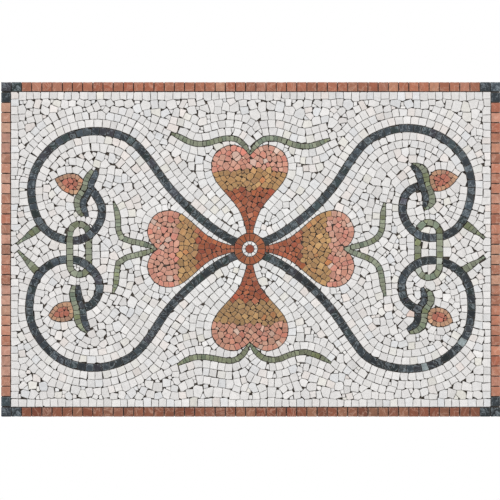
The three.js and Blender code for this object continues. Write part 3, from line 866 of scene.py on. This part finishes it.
# Dark colours of the adhesive seen down the joints: dust, and painted shade of the deep joints.
JOINT_DUST_AND_SHADE = (*linear(104, 96, 88), 1)
PALE_JOINT_DUST_AND_SHADE = (*linear(140, 130, 120), 1)
MILK = (*linear(222, 218, 204), 1)
NET_MILK = (*linear(224, 220, 206), 1)
DARK_FIBRE = (*linear(190, 186, 172), 1)
THREAD_SHARE = 0.35  # how far a fibre goes towards its dark colour
THREADS = {"Scale": 900, "Distortion": 1.5}
FLOOR_WHITE = (0.86, 0.86, 0.85, 1)
FLOOR_GREY = (0.82, 0.82, 0.81, 1)


class Nodes:
    """A node tree under way. Each call adds a node, with values or other nodes' outputs for its inputs,
    and gives its output."""

    def __init__(self, tree):
        self.tree = tree

    def join(self, target, source):
        """An input set to a value, or linked to an output."""
        if isinstance(source, bpy.types.NodeSocket):
            self.tree.links.new(source, target)
        else:
            target.default_value = source

    def node(self, kind, output, inputs=(), **settings):
        node = self.tree.nodes.new(f"ShaderNode{kind}")
        for title, value in settings.items():
            setattr(node, title, value)
        for title, value in dict(inputs).items():
            self.join(node.inputs[title], value)
        return node.outputs[output]

    def maths(self, operation, *values):
        return self.node("Math", 0, enumerate(values), operation=operation)

    def times(self, *values):
        return self.maths("MULTIPLY", *values)

    def ranged(self, value, low, high, to_low=0.0, to_high=1.0):
        inputs = {"Value": value, "From Min": low, "From Max": high, "To Min": to_low, "To Max": to_high}
        return self.node("MapRange", 0, inputs, interpolation_type="SMOOTHSTEP")

    def noise(self, vector, scale, detail, roughness, distortion=0.0):
        inputs = {"Vector": vector, "Scale": scale, "Detail": detail, "Roughness": roughness,
                  "Distortion": distortion}
        return self.node("TexNoise", 0, inputs)

    def mixed(self, factor, first, second, blend="MIX"):
        return self.node("Mix", 2, {0: factor, 6: first, 7: second}, data_type="RGBA", blend_type=blend)

    def attribute(self, name, output="Fac"):
        return self.node("Attribute", output, attribute_name=name)

    def varied(self, noise, amount):
        """A factor round 1 that follows a noise by an amount."""
        about_nought = self.maths("SUBTRACT", noise, MIDDLE)
        return self.maths("MULTIPLY_ADD", about_nought, self.times(amount, CONTRAST), 1.0)


class Group(Nodes):
    """A node group with named inputs and outputs."""

    def __init__(self, name, colours, others, outputs):
        super().__init__(bpy.data.node_groups.new(name, "ShaderNodeTree"))
        face = self.tree.interface
        for title in colours:
            face.new_socket(title, in_out="INPUT", socket_type="NodeSocketColor")
        face.new_socket("Block", in_out="INPUT", socket_type="NodeSocketVector")
        for title in others:
            face.new_socket(title, in_out="INPUT", socket_type="NodeSocketFloat")
        for title, kind in outputs.items():
            face.new_socket(title, in_out="OUTPUT", socket_type=f"NodeSocket{kind}")
        self.given = self.tree.nodes.new("NodeGroupInput").outputs
        self.out = self.tree.nodes.new("NodeGroupOutput").inputs

    def give(self, **values):
        for title, value in values.items():
            self.join(self.out[title.capitalize()], value)
        return self.tree


class Surface(Nodes):
    """A material whose Principled shader takes a colour, a roughness and the height of a bump."""

    def __init__(self, name):
        self.material = bpy.data.materials.new(name)
        self.material.use_nodes = True
        super().__init__(self.material.node_tree)
        self.shader = self.tree.nodes["Principled BSDF"].inputs

    def grouped(self, group, **values):
        """The outputs of a node group with these values."""
        node = self.tree.nodes.new("ShaderNodeGroup")
        node.node_tree = group
        for title, value in values.items():
            self.join(node.inputs[title.replace("_", " ").capitalize()], value)
        return node.outputs

    def give(self, colour, roughness, height, strength, distance):
        bump = self.node("Bump", 0, {"Height": height, "Strength": strength, "Distance": distance})
        self.join(self.shader["Base Color"], colour)
        self.join(self.shader["Roughness"], roughness)
        self.join(self.shader["Normal"], bump)
        return self.material


def made_once(make):
    """Keeps what a function has made under its name, and gives it again when it is asked again."""
    kept = {}

    def asked(*values):
        if values not in kept:
            kept[values] = make(*values)
        return kept[values]

    return asked


@made_once
def marble_group():
    """Marble inside a block: soft clouds, thin veins where a slow noise passes its middle, and crystals."""
    group = Group("Marble block", ("Colour", "Vein colour"), ("Cloud", "Vein", "Grain"),
                  {"Colour": "Color", "Height": "Float"})
    given = group.given
    clouds = group.noise(given["Block"], *CLOUDS)
    slow = group.maths("ABSOLUTE", group.maths("SUBTRACT", group.noise(given["Block"], *VEINS), MIDDLE))
    veins = group.times(group.ranged(slow, 0.0, VEIN_WIDTH, to_low=1.0, to_high=0.0), given["Vein"])
    crystals = group.noise(given["Block"], *CRYSTALS)
    light = group.times(group.varied(clouds, given["Cloud"]), group.varied(crystals, given["Grain"]))
    shade = group.node("CombineColor", 0, enumerate([light] * 3))
    veined = group.mixed(veins, given["Colour"], given["Vein colour"])
    return group.give(colour=group.mixed(1.0, veined, shade, "MULTIPLY"),
                      height=group.maths("MULTIPLY_ADD", crystals, 0.5, group.times(clouds, 0.5)))


@made_once
def edge_group():
    """A cut edge: bruised pale in patches, with small bites out of it."""
    group = Group("Cut edge", ("Colour",), ("Edge", "Bruise"), {"Colour": "Color", "Height": "Float"})
    given = group.given
    patches = group.maths("ADD", group.noise(given["Block"], *BRUISES), BRUISED)
    worn_off = group.ranged(group.times(given["Edge"], patches), low=0.45, high=0.85)
    pale = group.mixed(PALER, given["Colour"], BRUISE_WHITE)
    return group.give(colour=group.mixed(group.times(worn_off, given["Bruise"]), given["Colour"], pale),
                      height=group.times(worn_off, BITE))


@made_once
def joint_group():
    """What lies in a joint and on a back: dirt and painted shade that thicken with depth down the joint, and
    smears of adhesive.
    """
    group = Group("Joint dirt", ("Colour", "Dirt", "Adhesive"), ("Sunk", "Back"),
                  {"Colour": "Color", "Roughness": "Float"})
    given = group.given
    patches = group.times(group.noise(given["Block"], *DIRT_AND_SHADE_PATCHES), PATCHY)
    # Painted shade and dirt: a tessera's sides darken towards its back, deep in the joint.
    dirt_and_shade_amount = group.ranged(group.maths("ADD", given["Sunk"], patches), low=0.1, high=0.55)
    dirtied_and_shaded = group.mixed(group.times(dirt_and_shade_amount, DIRT_AND_SHADE_SHARE), given["Colour"], given["Dirt"])
    smears = group.ranged(group.noise(given["Block"], *SMEARS), low=0.42, high=0.62)
    glued = group.times(given["Back"], group.ranged(smears, 0.0, 1.0, to_low=0.25, to_high=0.8))
    return group.give(colour=group.mixed(glued, dirtied_and_shaded, given["Adhesive"]),
                      roughness=group.times(dirt_and_shade_amount, ROUGHER))


@made_once
def stone_material(stone):
    """A stone that takes each tessera's colour from its mesh."""
    look = STONES[stone]
    surface = Surface(stone)
    block = surface.attribute("block", "Vector")
    marble = surface.grouped(
        marble_group(), colour=surface.attribute("stone", "Color"), vein_colour=(*look["veins"], 1),
        block=block, cloud=look["cloud"], vein=look["vein"], grain=look["grain"])
    edge = surface.grouped(edge_group(), colour=marble["Colour"], block=block, bruise=BRUISE,
                           edge=surface.attribute("edge"))
    # The joints' dark colour down each tessera's sides: dirt and painted shade.
    joint = surface.grouped(
        joint_group(), colour=edge["Colour"], dirt=(*look["dirt"], 1), block=block,
        adhesive=(*bpy.context.scene.mosaic_colours.adhesive, 1),
        sunk=surface.attribute("sunk"), back=surface.attribute("back"))
    surface.join(surface.shader["Specular IOR Level"], SHEEN)
    return surface.give(joint["Colour"], surface.maths("ADD", joint["Roughness"], look["rough"]),
                        surface.maths("ADD", marble["Height"], edge["Height"]),
                        strength=0.35, distance=0.08 * MM)


@made_once
def adhesive_material():
    """Adhesive, dark with dust and painted shade where it lies in a joint on the face's side, and milky
    towards the back.
    """
    surface = Surface("adhesive")
    lumps = surface.noise(surface.node("TexCoord", "Object"), *LUMPS)
    # The face's side of the adhesive: dust and painted shade.
    dust_and_shade = surface.mixed(lumps, JOINT_DUST_AND_SHADE, PALE_JOINT_DUST_AND_SHADE)
    milk = surface.mixed(lumps, (*bpy.context.scene.mosaic_colours.adhesive, 1), MILK)
    return surface.give(surface.mixed(surface.attribute("back"), dust_and_shade, milk),
                        surface.ranged(lumps, 0.3, 0.7, to_low=0.45, to_high=0.75), lumps,
                        strength=0.4, distance=0.3 * MM)


@made_once
def net_material():
    """Twisted glass fibre under a coat of adhesive: fine threads that run slanting along each strand."""
    colours = bpy.context.scene.mosaic_colours
    surface = Surface("net")
    threads = surface.node(
        "TexWave", "Fac", {"Vector": surface.attribute("strand", "Vector"), **THREADS},
        bands_direction="DIAGONAL")
    lumps = surface.noise(surface.node("TexCoord", "Object"), *NET_LUMPS)
    coat = surface.attribute("coat")
    fibre = surface.mixed(surface.times(threads, THREAD_SHARE), (*colours.net, 1), DARK_FIBRE)
    glue = surface.mixed(lumps, (*colours.adhesive, 1), NET_MILK)
    bare = surface.times(threads, surface.maths("SUBTRACT", 1.0, coat))
    return surface.give(surface.mixed(coat, fibre, glue),
                        surface.ranged(lumps, 0.3, 0.7, to_low=0.4, to_high=0.65),
                        surface.maths("ADD", lumps, bare), strength=0.5, distance=0.12 * MM)


# Operators


def lay_form(nodes, size, length, joint, turn, fragment, rows=1, fill=0, core=None, seed=1):
    """Lays one form: sites, then tesserae cut to fit, chips and uneven sides, and a piece for each of
    its nodes. `core` is a colour for the tesserae between the rows."""
    chip = bpy.context.scene.mosaic_laying.chip
    chance = np.random.default_rng(seed)
    outline = Outline(nodes)
    sites = laid(outline, size, length, rows, fill, np.random.default_rng(seed))
    settle(sites, outline, joint, turn)
    shapes, counts = split(sites, outline, joint, turn)
    add_fragments(sites, shapes, counts, outline, fragment, seed)
    shapes, counts = split(sites, outline, joint, turn)
    area, middle = areas_and_middles(shapes, counts)
    counts = np.where(area > LEAST_SIDE ** 2, counts, 0)
    shapes, counts = worn(shapes, counts, middle, (chip, chip), chance)
    owner = outline.owner(middle)
    for number, node in enumerate(nodes):
        mine = (owner == number) & (counts > 2)
        if not mine.any():
            raise RuntimeError(f"no tesserae fit {node}")
        colours = stone_colours(node, middle[mine], chance)
        if core is not None:
            inner = sites.row[mine] == 0
            colours[inner] = np.array(core) * np.exp(chance.normal(0, CORE_SPREAD, (inner.sum(), 1)))
        tesserae_piece(node, shapes[mine], counts[mine], colours, seed=seed)


def rays(count, total):
    """The first directions of a total that are evenly spaced all round, in order."""
    angle = 2 * math.pi * np.arange(count) / total
    return np.stack([np.cos(angle), np.sin(angle)], 1)


class Laying:
    """What the operators share that lay a part of the panel by the scene's settings. `seed` is the first
    that a step takes its random numbers from, and `fragment` is the size of its fragments as a share of
    its tesserae's."""

    def execute(self, context):
        self.lay(context.scene.mosaic_laying)
        return {"FINISHED"}


class MOSAIC_OT_border(Laying, bpy.types.Operator):
    """Lays the border, one row of tesserae round the panel, with dark ones at its corners"""

    bl_idname = "mosaic.border"
    bl_label = "Border"
    seed = 11
    stray = 0.35 * MM  # how far a corner may lie off its place
    chip_share = 0.8  # of the usual size

    def boxes(self, settings):
        """The least and greatest x and z of each tessera, of the rows that run along and then of those
        between them. Half a joint is left free where two of a row meet."""
        counts = (settings.along, settings.up)
        gap = settings.border_joint / 2
        pitch = 2 * HALF_PANEL / counts
        boxes = []
        for way in (0, 1):
            low = -HALF_PANEL[way] + pitch[way] * np.arange(way, counts[way] - way)
            for side in (-HALF_PANEL[1 - way], HALF_PANEL[1 - way] - BORDER_WIDTH):
                box = np.empty((len(low), 4))
                box[:, way], box[:, way + 2] = low + gap, low + pitch[way] - gap
                box[:, 1 - way], box[:, 3 - way] = side, side + BORDER_WIDTH
                boxes.append(box)
        boxes = np.concatenate(boxes)
        ends = boxes[:, [0, 2]]
        at_end = np.abs(ends) > HALF_PANEL[0] - gap - WELD
        boxes[:, [0, 2]] = np.where(at_end, HALF_PANEL[0] * np.array([-1, 1]), ends)
        return boxes, pitch

    def lay(self, settings):
        chance = np.random.default_rng(self.seed)
        boxes, pitch = self.boxes(settings)
        corners = boxes[:, [[0, 1], [2, 1], [2, 3], [0, 3]]]
        middle = corners.mean(1)
        stray = chance.random(corners.shape) * self.stray
        inner = np.abs(corners) < HALF_PANEL - WELD
        corners += np.sign(middle[:, None] - corners) * stray * inner
        shapes, counts = worn(*slotted(corners), middle, [self.chip_share * settings.chip], chance)
        away = HALF_PANEL - np.abs(middle)
        corner = (away < 2 * pitch).all(1)
        level = away[:, 1] < BORDER_WIDTH
        right, upper = (middle > 0).T
        ways = {"right": right, "left": ~right, "upper": upper, "lower": ~upper}
        rows = {"top": level & upper, "bottom": level & ~upper,
                "left": ~level & ~right, "right": ~level & right}
        for node in nodes_called("border", "corner"):
            kind, *words = node.split("_")
            if kind == "border":
                mine = rows[words[0]] & ~corner
            else:
                mine = corner & ways[words[0]] & ways[words[1]]
            tesserae_piece(node, shapes[mine], counts[mine], stone_colours(node, middle[mine], chance))


class MOSAIC_OT_roundel(Laying, bpy.types.Operator):
    """Lays the roundel: a red ring, a white ring inside it and one red stone in the middle"""

    bl_idname = "mosaic.roundel"
    bl_label = "Roundel"
    seed = 5
    chip_share = 0.5  # of the usual size

    rim_count: setting("Int", "Rim", "Tesserae of the red ring", 16, min=3)
    eye_count: setting("Int", "Eye", "Tesserae of the white ring", 10, min=3)
    middle_sides: setting("Int", "Sides", "Sides of the middle stone", 9, min=3)
    middle_share: setting("Float", "Middle", "Radius of the middle stone as a share of the eye's", 0.54)

    def ring(self, centre, inner, outer, count, joint):
        """Tesserae between two radii and between evenly spaced directions, less half a joint where two
        of them meet."""
        ray = rays(count + 1, count)
        corners = np.stack([inner * ray[:-1], outer * ray[:-1], outer * ray[1:], inner * ray[1:]], 1) + centre
        sideways = corners[:, 3] - corners[:, 0]
        sideways /= np.linalg.norm(sideways, axis=1)[:, None]
        shift = (sideways * joint / 2)[:, None]
        corners[:, :2] += shift
        corners[:, 2:] -= shift
        return corners

    def lay(self, settings):
        chance = np.random.default_rng(self.seed)
        low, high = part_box("roundel_rim")
        centre = np.array([low.x + high.x, low.z + high.z]) / 2
        radius = (high.x - low.x) / 2
        eye_low, eye_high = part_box("roundel_eye")
        eye = (eye_high.x - eye_low.x) / 2
        core = eye * self.middle_share
        joint = settings.scroll_joint
        for corners, node, name, slot in (
            (self.ring(centre, eye + joint, radius, self.rim_count, joint), "roundel_rim", None, None),
            (self.ring(centre, core + joint, eye, self.eye_count, joint), "roundel_eye", None, None),
            ((centre + core * rays(self.middle_sides, self.middle_sides))[None], "roundel_eye",
             "roundel_middle_tessera", "red_marble"),
        ):
            middle = corners.mean(1)
            shapes, counts = worn(*slotted(corners), middle, [self.chip_share * settings.chip], chance)
            colours = stone_colours(node, middle, chance, slot)
            if slot:
                colours[:] = MIDDLE_RED
            tesserae_piece(node, shapes, counts, colours, name, slot, seed=len(node))


class MOSAIC_OT_scrolls(Laying, bpy.types.Operator):
    """Lays the dark scrolls, each in one row"""

    bl_idname = "mosaic.scrolls"
    bl_label = "Scrolls"
    seed = 20
    fragment = 0.35

    def lay(self, settings):
        size = settings.scroll_size
        for number, node in enumerate(nodes_called("scroll")):
            lay_form([node], size, size, settings.scroll_joint, settings.turn, self.fragment * size,
                     seed=self.seed + number)


class MOSAIC_OT_greenery(Laying, bpy.types.Operator):
    """Lays the green links, sepals, leaves and tendrils, each in one row"""

    bl_idname = "mosaic.greenery"
    bl_label = "Links and leaves"
    seed = 40
    fragment = 0.4

    def lay(self, settings):
        size = settings.link_size
        for number, node in enumerate(nodes_called("link", "sepal", "leaf", "tendril")):
            length = size if node.startswith("link") else settings.green_size
            lay_form([node], size, length, settings.fine_joint, settings.turn, self.fragment * size,
                     seed=self.seed + number)


class MOSAIC_OT_buds(Laying, bpy.types.Operator):
    """Lays the buds: small ochre tesserae round a red core"""

    bl_idname = "mosaic.buds"
    bl_label = "Buds"
    seed = 60
    fragment = 0.45

    def lay(self, settings):
        for number, node in enumerate(nodes_called("bud")):
            lay_form([node], settings.bud_rim, settings.bud_size, settings.fine_joint, settings.turn,
                     self.fragment * settings.bud_core, fill=settings.bud_core, core=CORE_RED,
                     seed=self.seed + number)


class MOSAIC_OT_hearts(Laying, bpy.types.Operator):
    """Lays the hearts, each in red, ochre and pink stone from its root to its lobes"""

    bl_idname = "mosaic.hearts"
    bl_label = "Hearts"
    seed = 70
    fragment = 0.5

    def lay(self, settings):
        size = settings.heart_size
        nodes = nodes_called("heart")
        for number, way in enumerate(sorted({node.split("_")[1] for node in nodes})):
            parts = [node for node in nodes if node.split("_")[1] == way]
            lay_form(parts, size, size, settings.joint, 2 * settings.turn, self.fragment * size,
                     fill=size, seed=self.seed + number)


class MOSAIC_OT_ground(Laying, bpy.types.Operator):
    """Lays the white ground: rows along every form, and hand-cut pieces between the rows"""

    bl_idname = "mosaic.ground"
    bl_label = "Ground"
    seed = 80
    fragment = 0.42

    rows: setting("Int", "Rows", "Rows of tesserae along each form", 3, min=1)

    def lay(self, settings):
        size = settings.ground_size
        for number, node in enumerate(nodes_called("ground", "window", "cell")):
            lay_form([node], size, size, settings.joint, settings.turn, self.fragment * size,
                     rows=self.rows, fill=size, seed=self.seed + number)


STRAND_STEPS = 2  # places along a strand for each mesh of the net
NET_MARGIN = 0.2 * MM
SWING = 0.4  # of a strand's thickness, by which it rises and falls
WANDER = 0.12 * MM  # how far a strand strays sideways
PUDDLES = 0.35  # how much the adhesive beside it varies in width
STONE_GAP = 0.1 * MM  # the adhesive beside the strands starts this far inside the stone
BEDDING_GAP = 0.12 * MM  # and that between the stones ends this far inside it
BEDDING_DEPTH = 4 * MM  # and starts this far behind the face
BEDDING_MARGIN = 0.1 * MM

# Across a strand: the distance from its middle in half thicknesses, the height, and whether it is thread.
# Thread is as many half thicknesses above the strand's middle, and adhesive rises from the stone to that
# middle by the share.
PROFILE = np.array([
    [-3.6, 0, 0], [-1.3, 0.35, 0], [-0.9, 0, 1], [0, 1, 1], [0.9, 0, 1], [1.3, 0.35, 0], [3.6, 0, 0]])
SKIRT = 2  # the points of the profile farther out than this lie at the edge of the adhesive


class MOSAIC_OT_net(Laying, bpy.types.Operator):
    """Makes the net on the back, woven from strands in two directions, and the adhesive in the joints"""

    bl_idname = "mosaic.net"
    bl_label = "Net and adhesive"
    seed = 7

    def strands(self, settings, name, way):
        """Strands as a profile carried along straight lines. The thread's height swings as
        cos(π (step + strand)), over one strand and under the next."""
        chance = np.random.default_rng(self.seed + way)
        spread, reach = (HALF_PANEL[::-1] if way else HALF_PANEL) - NET_MARGIN
        count = int(2 * spread / settings.mesh_size)
        steps = int(2 * reach / settings.mesh_size) * STRAND_STEPS + 1
        at = (np.arange(count) - (count - 1) / 2) * settings.mesh_size
        half = settings.strand / 2
        base = STONE_BACK - STONE_GAP
        swing = settings.strand * SWING
        line, step, point = np.meshgrid(np.arange(count), np.arange(steps), np.arange(len(PROFILE)),
                                        indexing="ij")
        sideways, rise, thread = np.moveaxis(PROFILE[point], -1, 0)
        wander = chance.normal(0, WANDER, (count, steps))[..., None]
        puddle = 1 + PUDDLES * chance.normal(0, 1, (count, steps)).clip(-2, 2)[..., None]
        across = at[line] + wander + sideways * half * np.where(np.abs(sideways) > SKIRT, puddle, 1)
        middle = NET_BACK - swing - half
        top = middle + swing * np.cos(math.pi * (step + line + way)) + rise * half
        height = np.where(thread > 0, top, base + rise * (middle - base))
        run = np.linspace(-reach, reach, steps)[step]
        places = np.stack([run, height, across] if way else [across, height, run], -1).reshape(-1, 3)
        number = np.arange(len(places)).reshape(count, steps, len(PROFILE))
        beside = np.roll(number, -1, 2)
        quads = np.stack([number[:, :-1], number[:, 1:], beside[:, 1:], beside[:, :-1]], -1).reshape(-1, 4)
        caps = np.concatenate([number[:, 0], number[:, -1, ::-1]])
        if not way:
            quads, caps = quads[:, ::-1], caps[:, ::-1]
        values = {"coat": (thread < 1).astype(float).ravel(),
                  "strand": np.stack([run, across, height], -1).reshape(-1, 3)}
        loops = np.concatenate([quads.ravel(), caps.ravel()])
        sizes = np.repeat([4, len(PROFILE)], [len(quads), len(caps)])
        new_piece(name, places, loops, sizes, net_material(), "net", ["mesh_backing"], values)

    def adhesive(self):
        """The adhesive pressed up between the stones: a flat block that all of them stand in."""
        edges = np.array([[-1, -1], [1, -1], [1, 1], [-1, 1]]) * (HALF_PANEL - BEDDING_MARGIN)
        levels = (FACE + BEDDING_DEPTH, STONE_BACK - BEDDING_GAP)
        places = np.concatenate([np.insert(edges, 1, level, axis=1) for level in levels])
        faces = np.array([[0, 1, 2, 3], [7, 6, 5, 4], [0, 4, 5, 1], [1, 5, 6, 2], [2, 6, 7, 3], [3, 7, 4, 0]])
        values = {"back": np.repeat([0.0, 1.0], len(edges))}
        new_piece("bedding", places, faces.ravel(), np.full(len(faces), 4), adhesive_material(), "net",
                  (), values)

    def lay(self, settings):
        self.strands(settings, "net_warp", 0)
        self.strands(settings, "net_weft", 1)
        self.adhesive()


LIGHTS = {  # where each stands and how wide it is, in metres, and which power it has
    "key": ((-1.5, -2.2, 1.9), 1.6, "key"), "fill": ((1.9, -2.0, 0.5), 1.8, "fill"),
    "back": ((1.4, 2.2, 1.9), 1.6, "key"),
}
AIM = (-0.96 * MM, -0.7 * MM)  # what the camera is aimed at
SENSOR = 36
FLOOR_SIDES = 64


class MOSAIC_OT_stage(bpy.types.Operator):
    """Sets up the camera, soft studio light and a plain pale floor"""

    bl_idname = "mosaic.stage"
    bl_label = "Camera, light and floor"

    def held(self, context, name, data, place=(0, 0, 0)):
        """A new object in the scene."""
        holder = bpy.data.objects.new(name, data)
        context.scene.collection.objects.link(holder)
        holder.location = place
        return holder

    def execute(self, context):
        stage = context.scene.mosaic_stage
        camera = bpy.data.cameras.new("camera")
        camera.lens = stage.lens
        camera.sensor_width = SENSOR
        distance = stage.width * stage.lens / camera.sensor_width
        holder = self.held(context, "camera", camera, (AIM[0], FACE - distance, AIM[1]))
        holder.rotation_euler = (math.pi / 2, 0, 0)
        context.scene.camera = holder
        for name, (place, size, power) in LIGHTS.items():
            lamp = bpy.data.lights.new(name, "AREA")
            lamp.size = size
            lamp.energy = getattr(stage, power)
            holder = self.held(context, name, lamp, place)
            holder.rotation_euler = (-holder.location).to_track_quat("-Z", "Y").to_euler()

        world = bpy.data.worlds.new("studio")
        world.use_nodes = True
        background = world.node_tree.nodes["Background"].inputs
        background["Color"].default_value = (1, 1, 1, 1)
        nodes = Nodes(world.node_tree)
        seen = nodes.node("LightPath", "Is Camera Ray")
        nodes.join(background["Strength"], nodes.maths("MAXIMUM", seen, stage.sky))
        context.scene.world = world

        surface = Surface("floor")
        clouds = surface.noise(surface.node("TexCoord", "Object"), *FLOOR_CLOUDS)
        colour = surface.mixed(clouds, FLOOR_WHITE, FLOOR_GREY)
        level = np.full(FLOOR_SIDES, FRAME_BOX[0].z - stage.drop)
        mesh = bpy.data.meshes.new("floor")
        mesh.from_pydata(np.column_stack([rays(FLOOR_SIDES, FLOOR_SIDES), level]).tolist(), [],
                         [list(range(FLOOR_SIDES))])
        mesh.materials.append(surface.give(
            colour, roughness=0.8, height=clouds, strength=1.0, distance=0.1 * MM))
        floor = self.held(context, "floor", mesh)
        context.scene.view_settings.view_transform = "Standard"
        return {"FINISHED"}


class MOSAIC_PT_panel(bpy.types.Panel):
    """Lists the steps in order"""

    bl_label = "Mosaic"
    bl_idname = "MOSAIC_PT_panel"
    bl_space_type = "VIEW_3D"
    bl_region_type = "UI"
    bl_category = "Mosaic"

    def draw(self, context):
        for step in STEPS:
            self.layout.operator(step.bl_idname)
        for title in GROUPS:
            group = getattr(context.scene, title)
            for name in group.__annotations__:
                self.layout.prop(group, name)


STEPS = (MOSAIC_OT_stage, MOSAIC_OT_net, MOSAIC_OT_border, MOSAIC_OT_roundel, MOSAIC_OT_scrolls,
         MOSAIC_OT_greenery, MOSAIC_OT_buds, MOSAIC_OT_hearts, MOSAIC_OT_ground)
GROUPS = {"mosaic_laying": MosaicLaying, "mosaic_colours": MosaicColours, "mosaic_stage": MosaicStage}


def register():
    for made in (*GROUPS.values(), *STEPS, MOSAIC_PT_panel):
        bpy.utils.register_class(made)
    for title, group in GROUPS.items():
        setattr(bpy.types.Scene, title, bpy.props.PointerProperty(type=group))


def unregister():
    for title in GROUPS:
        delattr(bpy.types.Scene, title)
    for made in reversed((*GROUPS.values(), *STEPS, MOSAIC_PT_panel)):
        bpy.utils.unregister_class(made)


def main():
    register()
    for step in STEPS:
        kind, name = step.bl_idname.split(".")
        if getattr(getattr(bpy.ops, kind), name)() != {"FINISHED"}:
            raise RuntimeError(f"{step.bl_label} didn't finish")


if __name__ == "__main__":
    main()
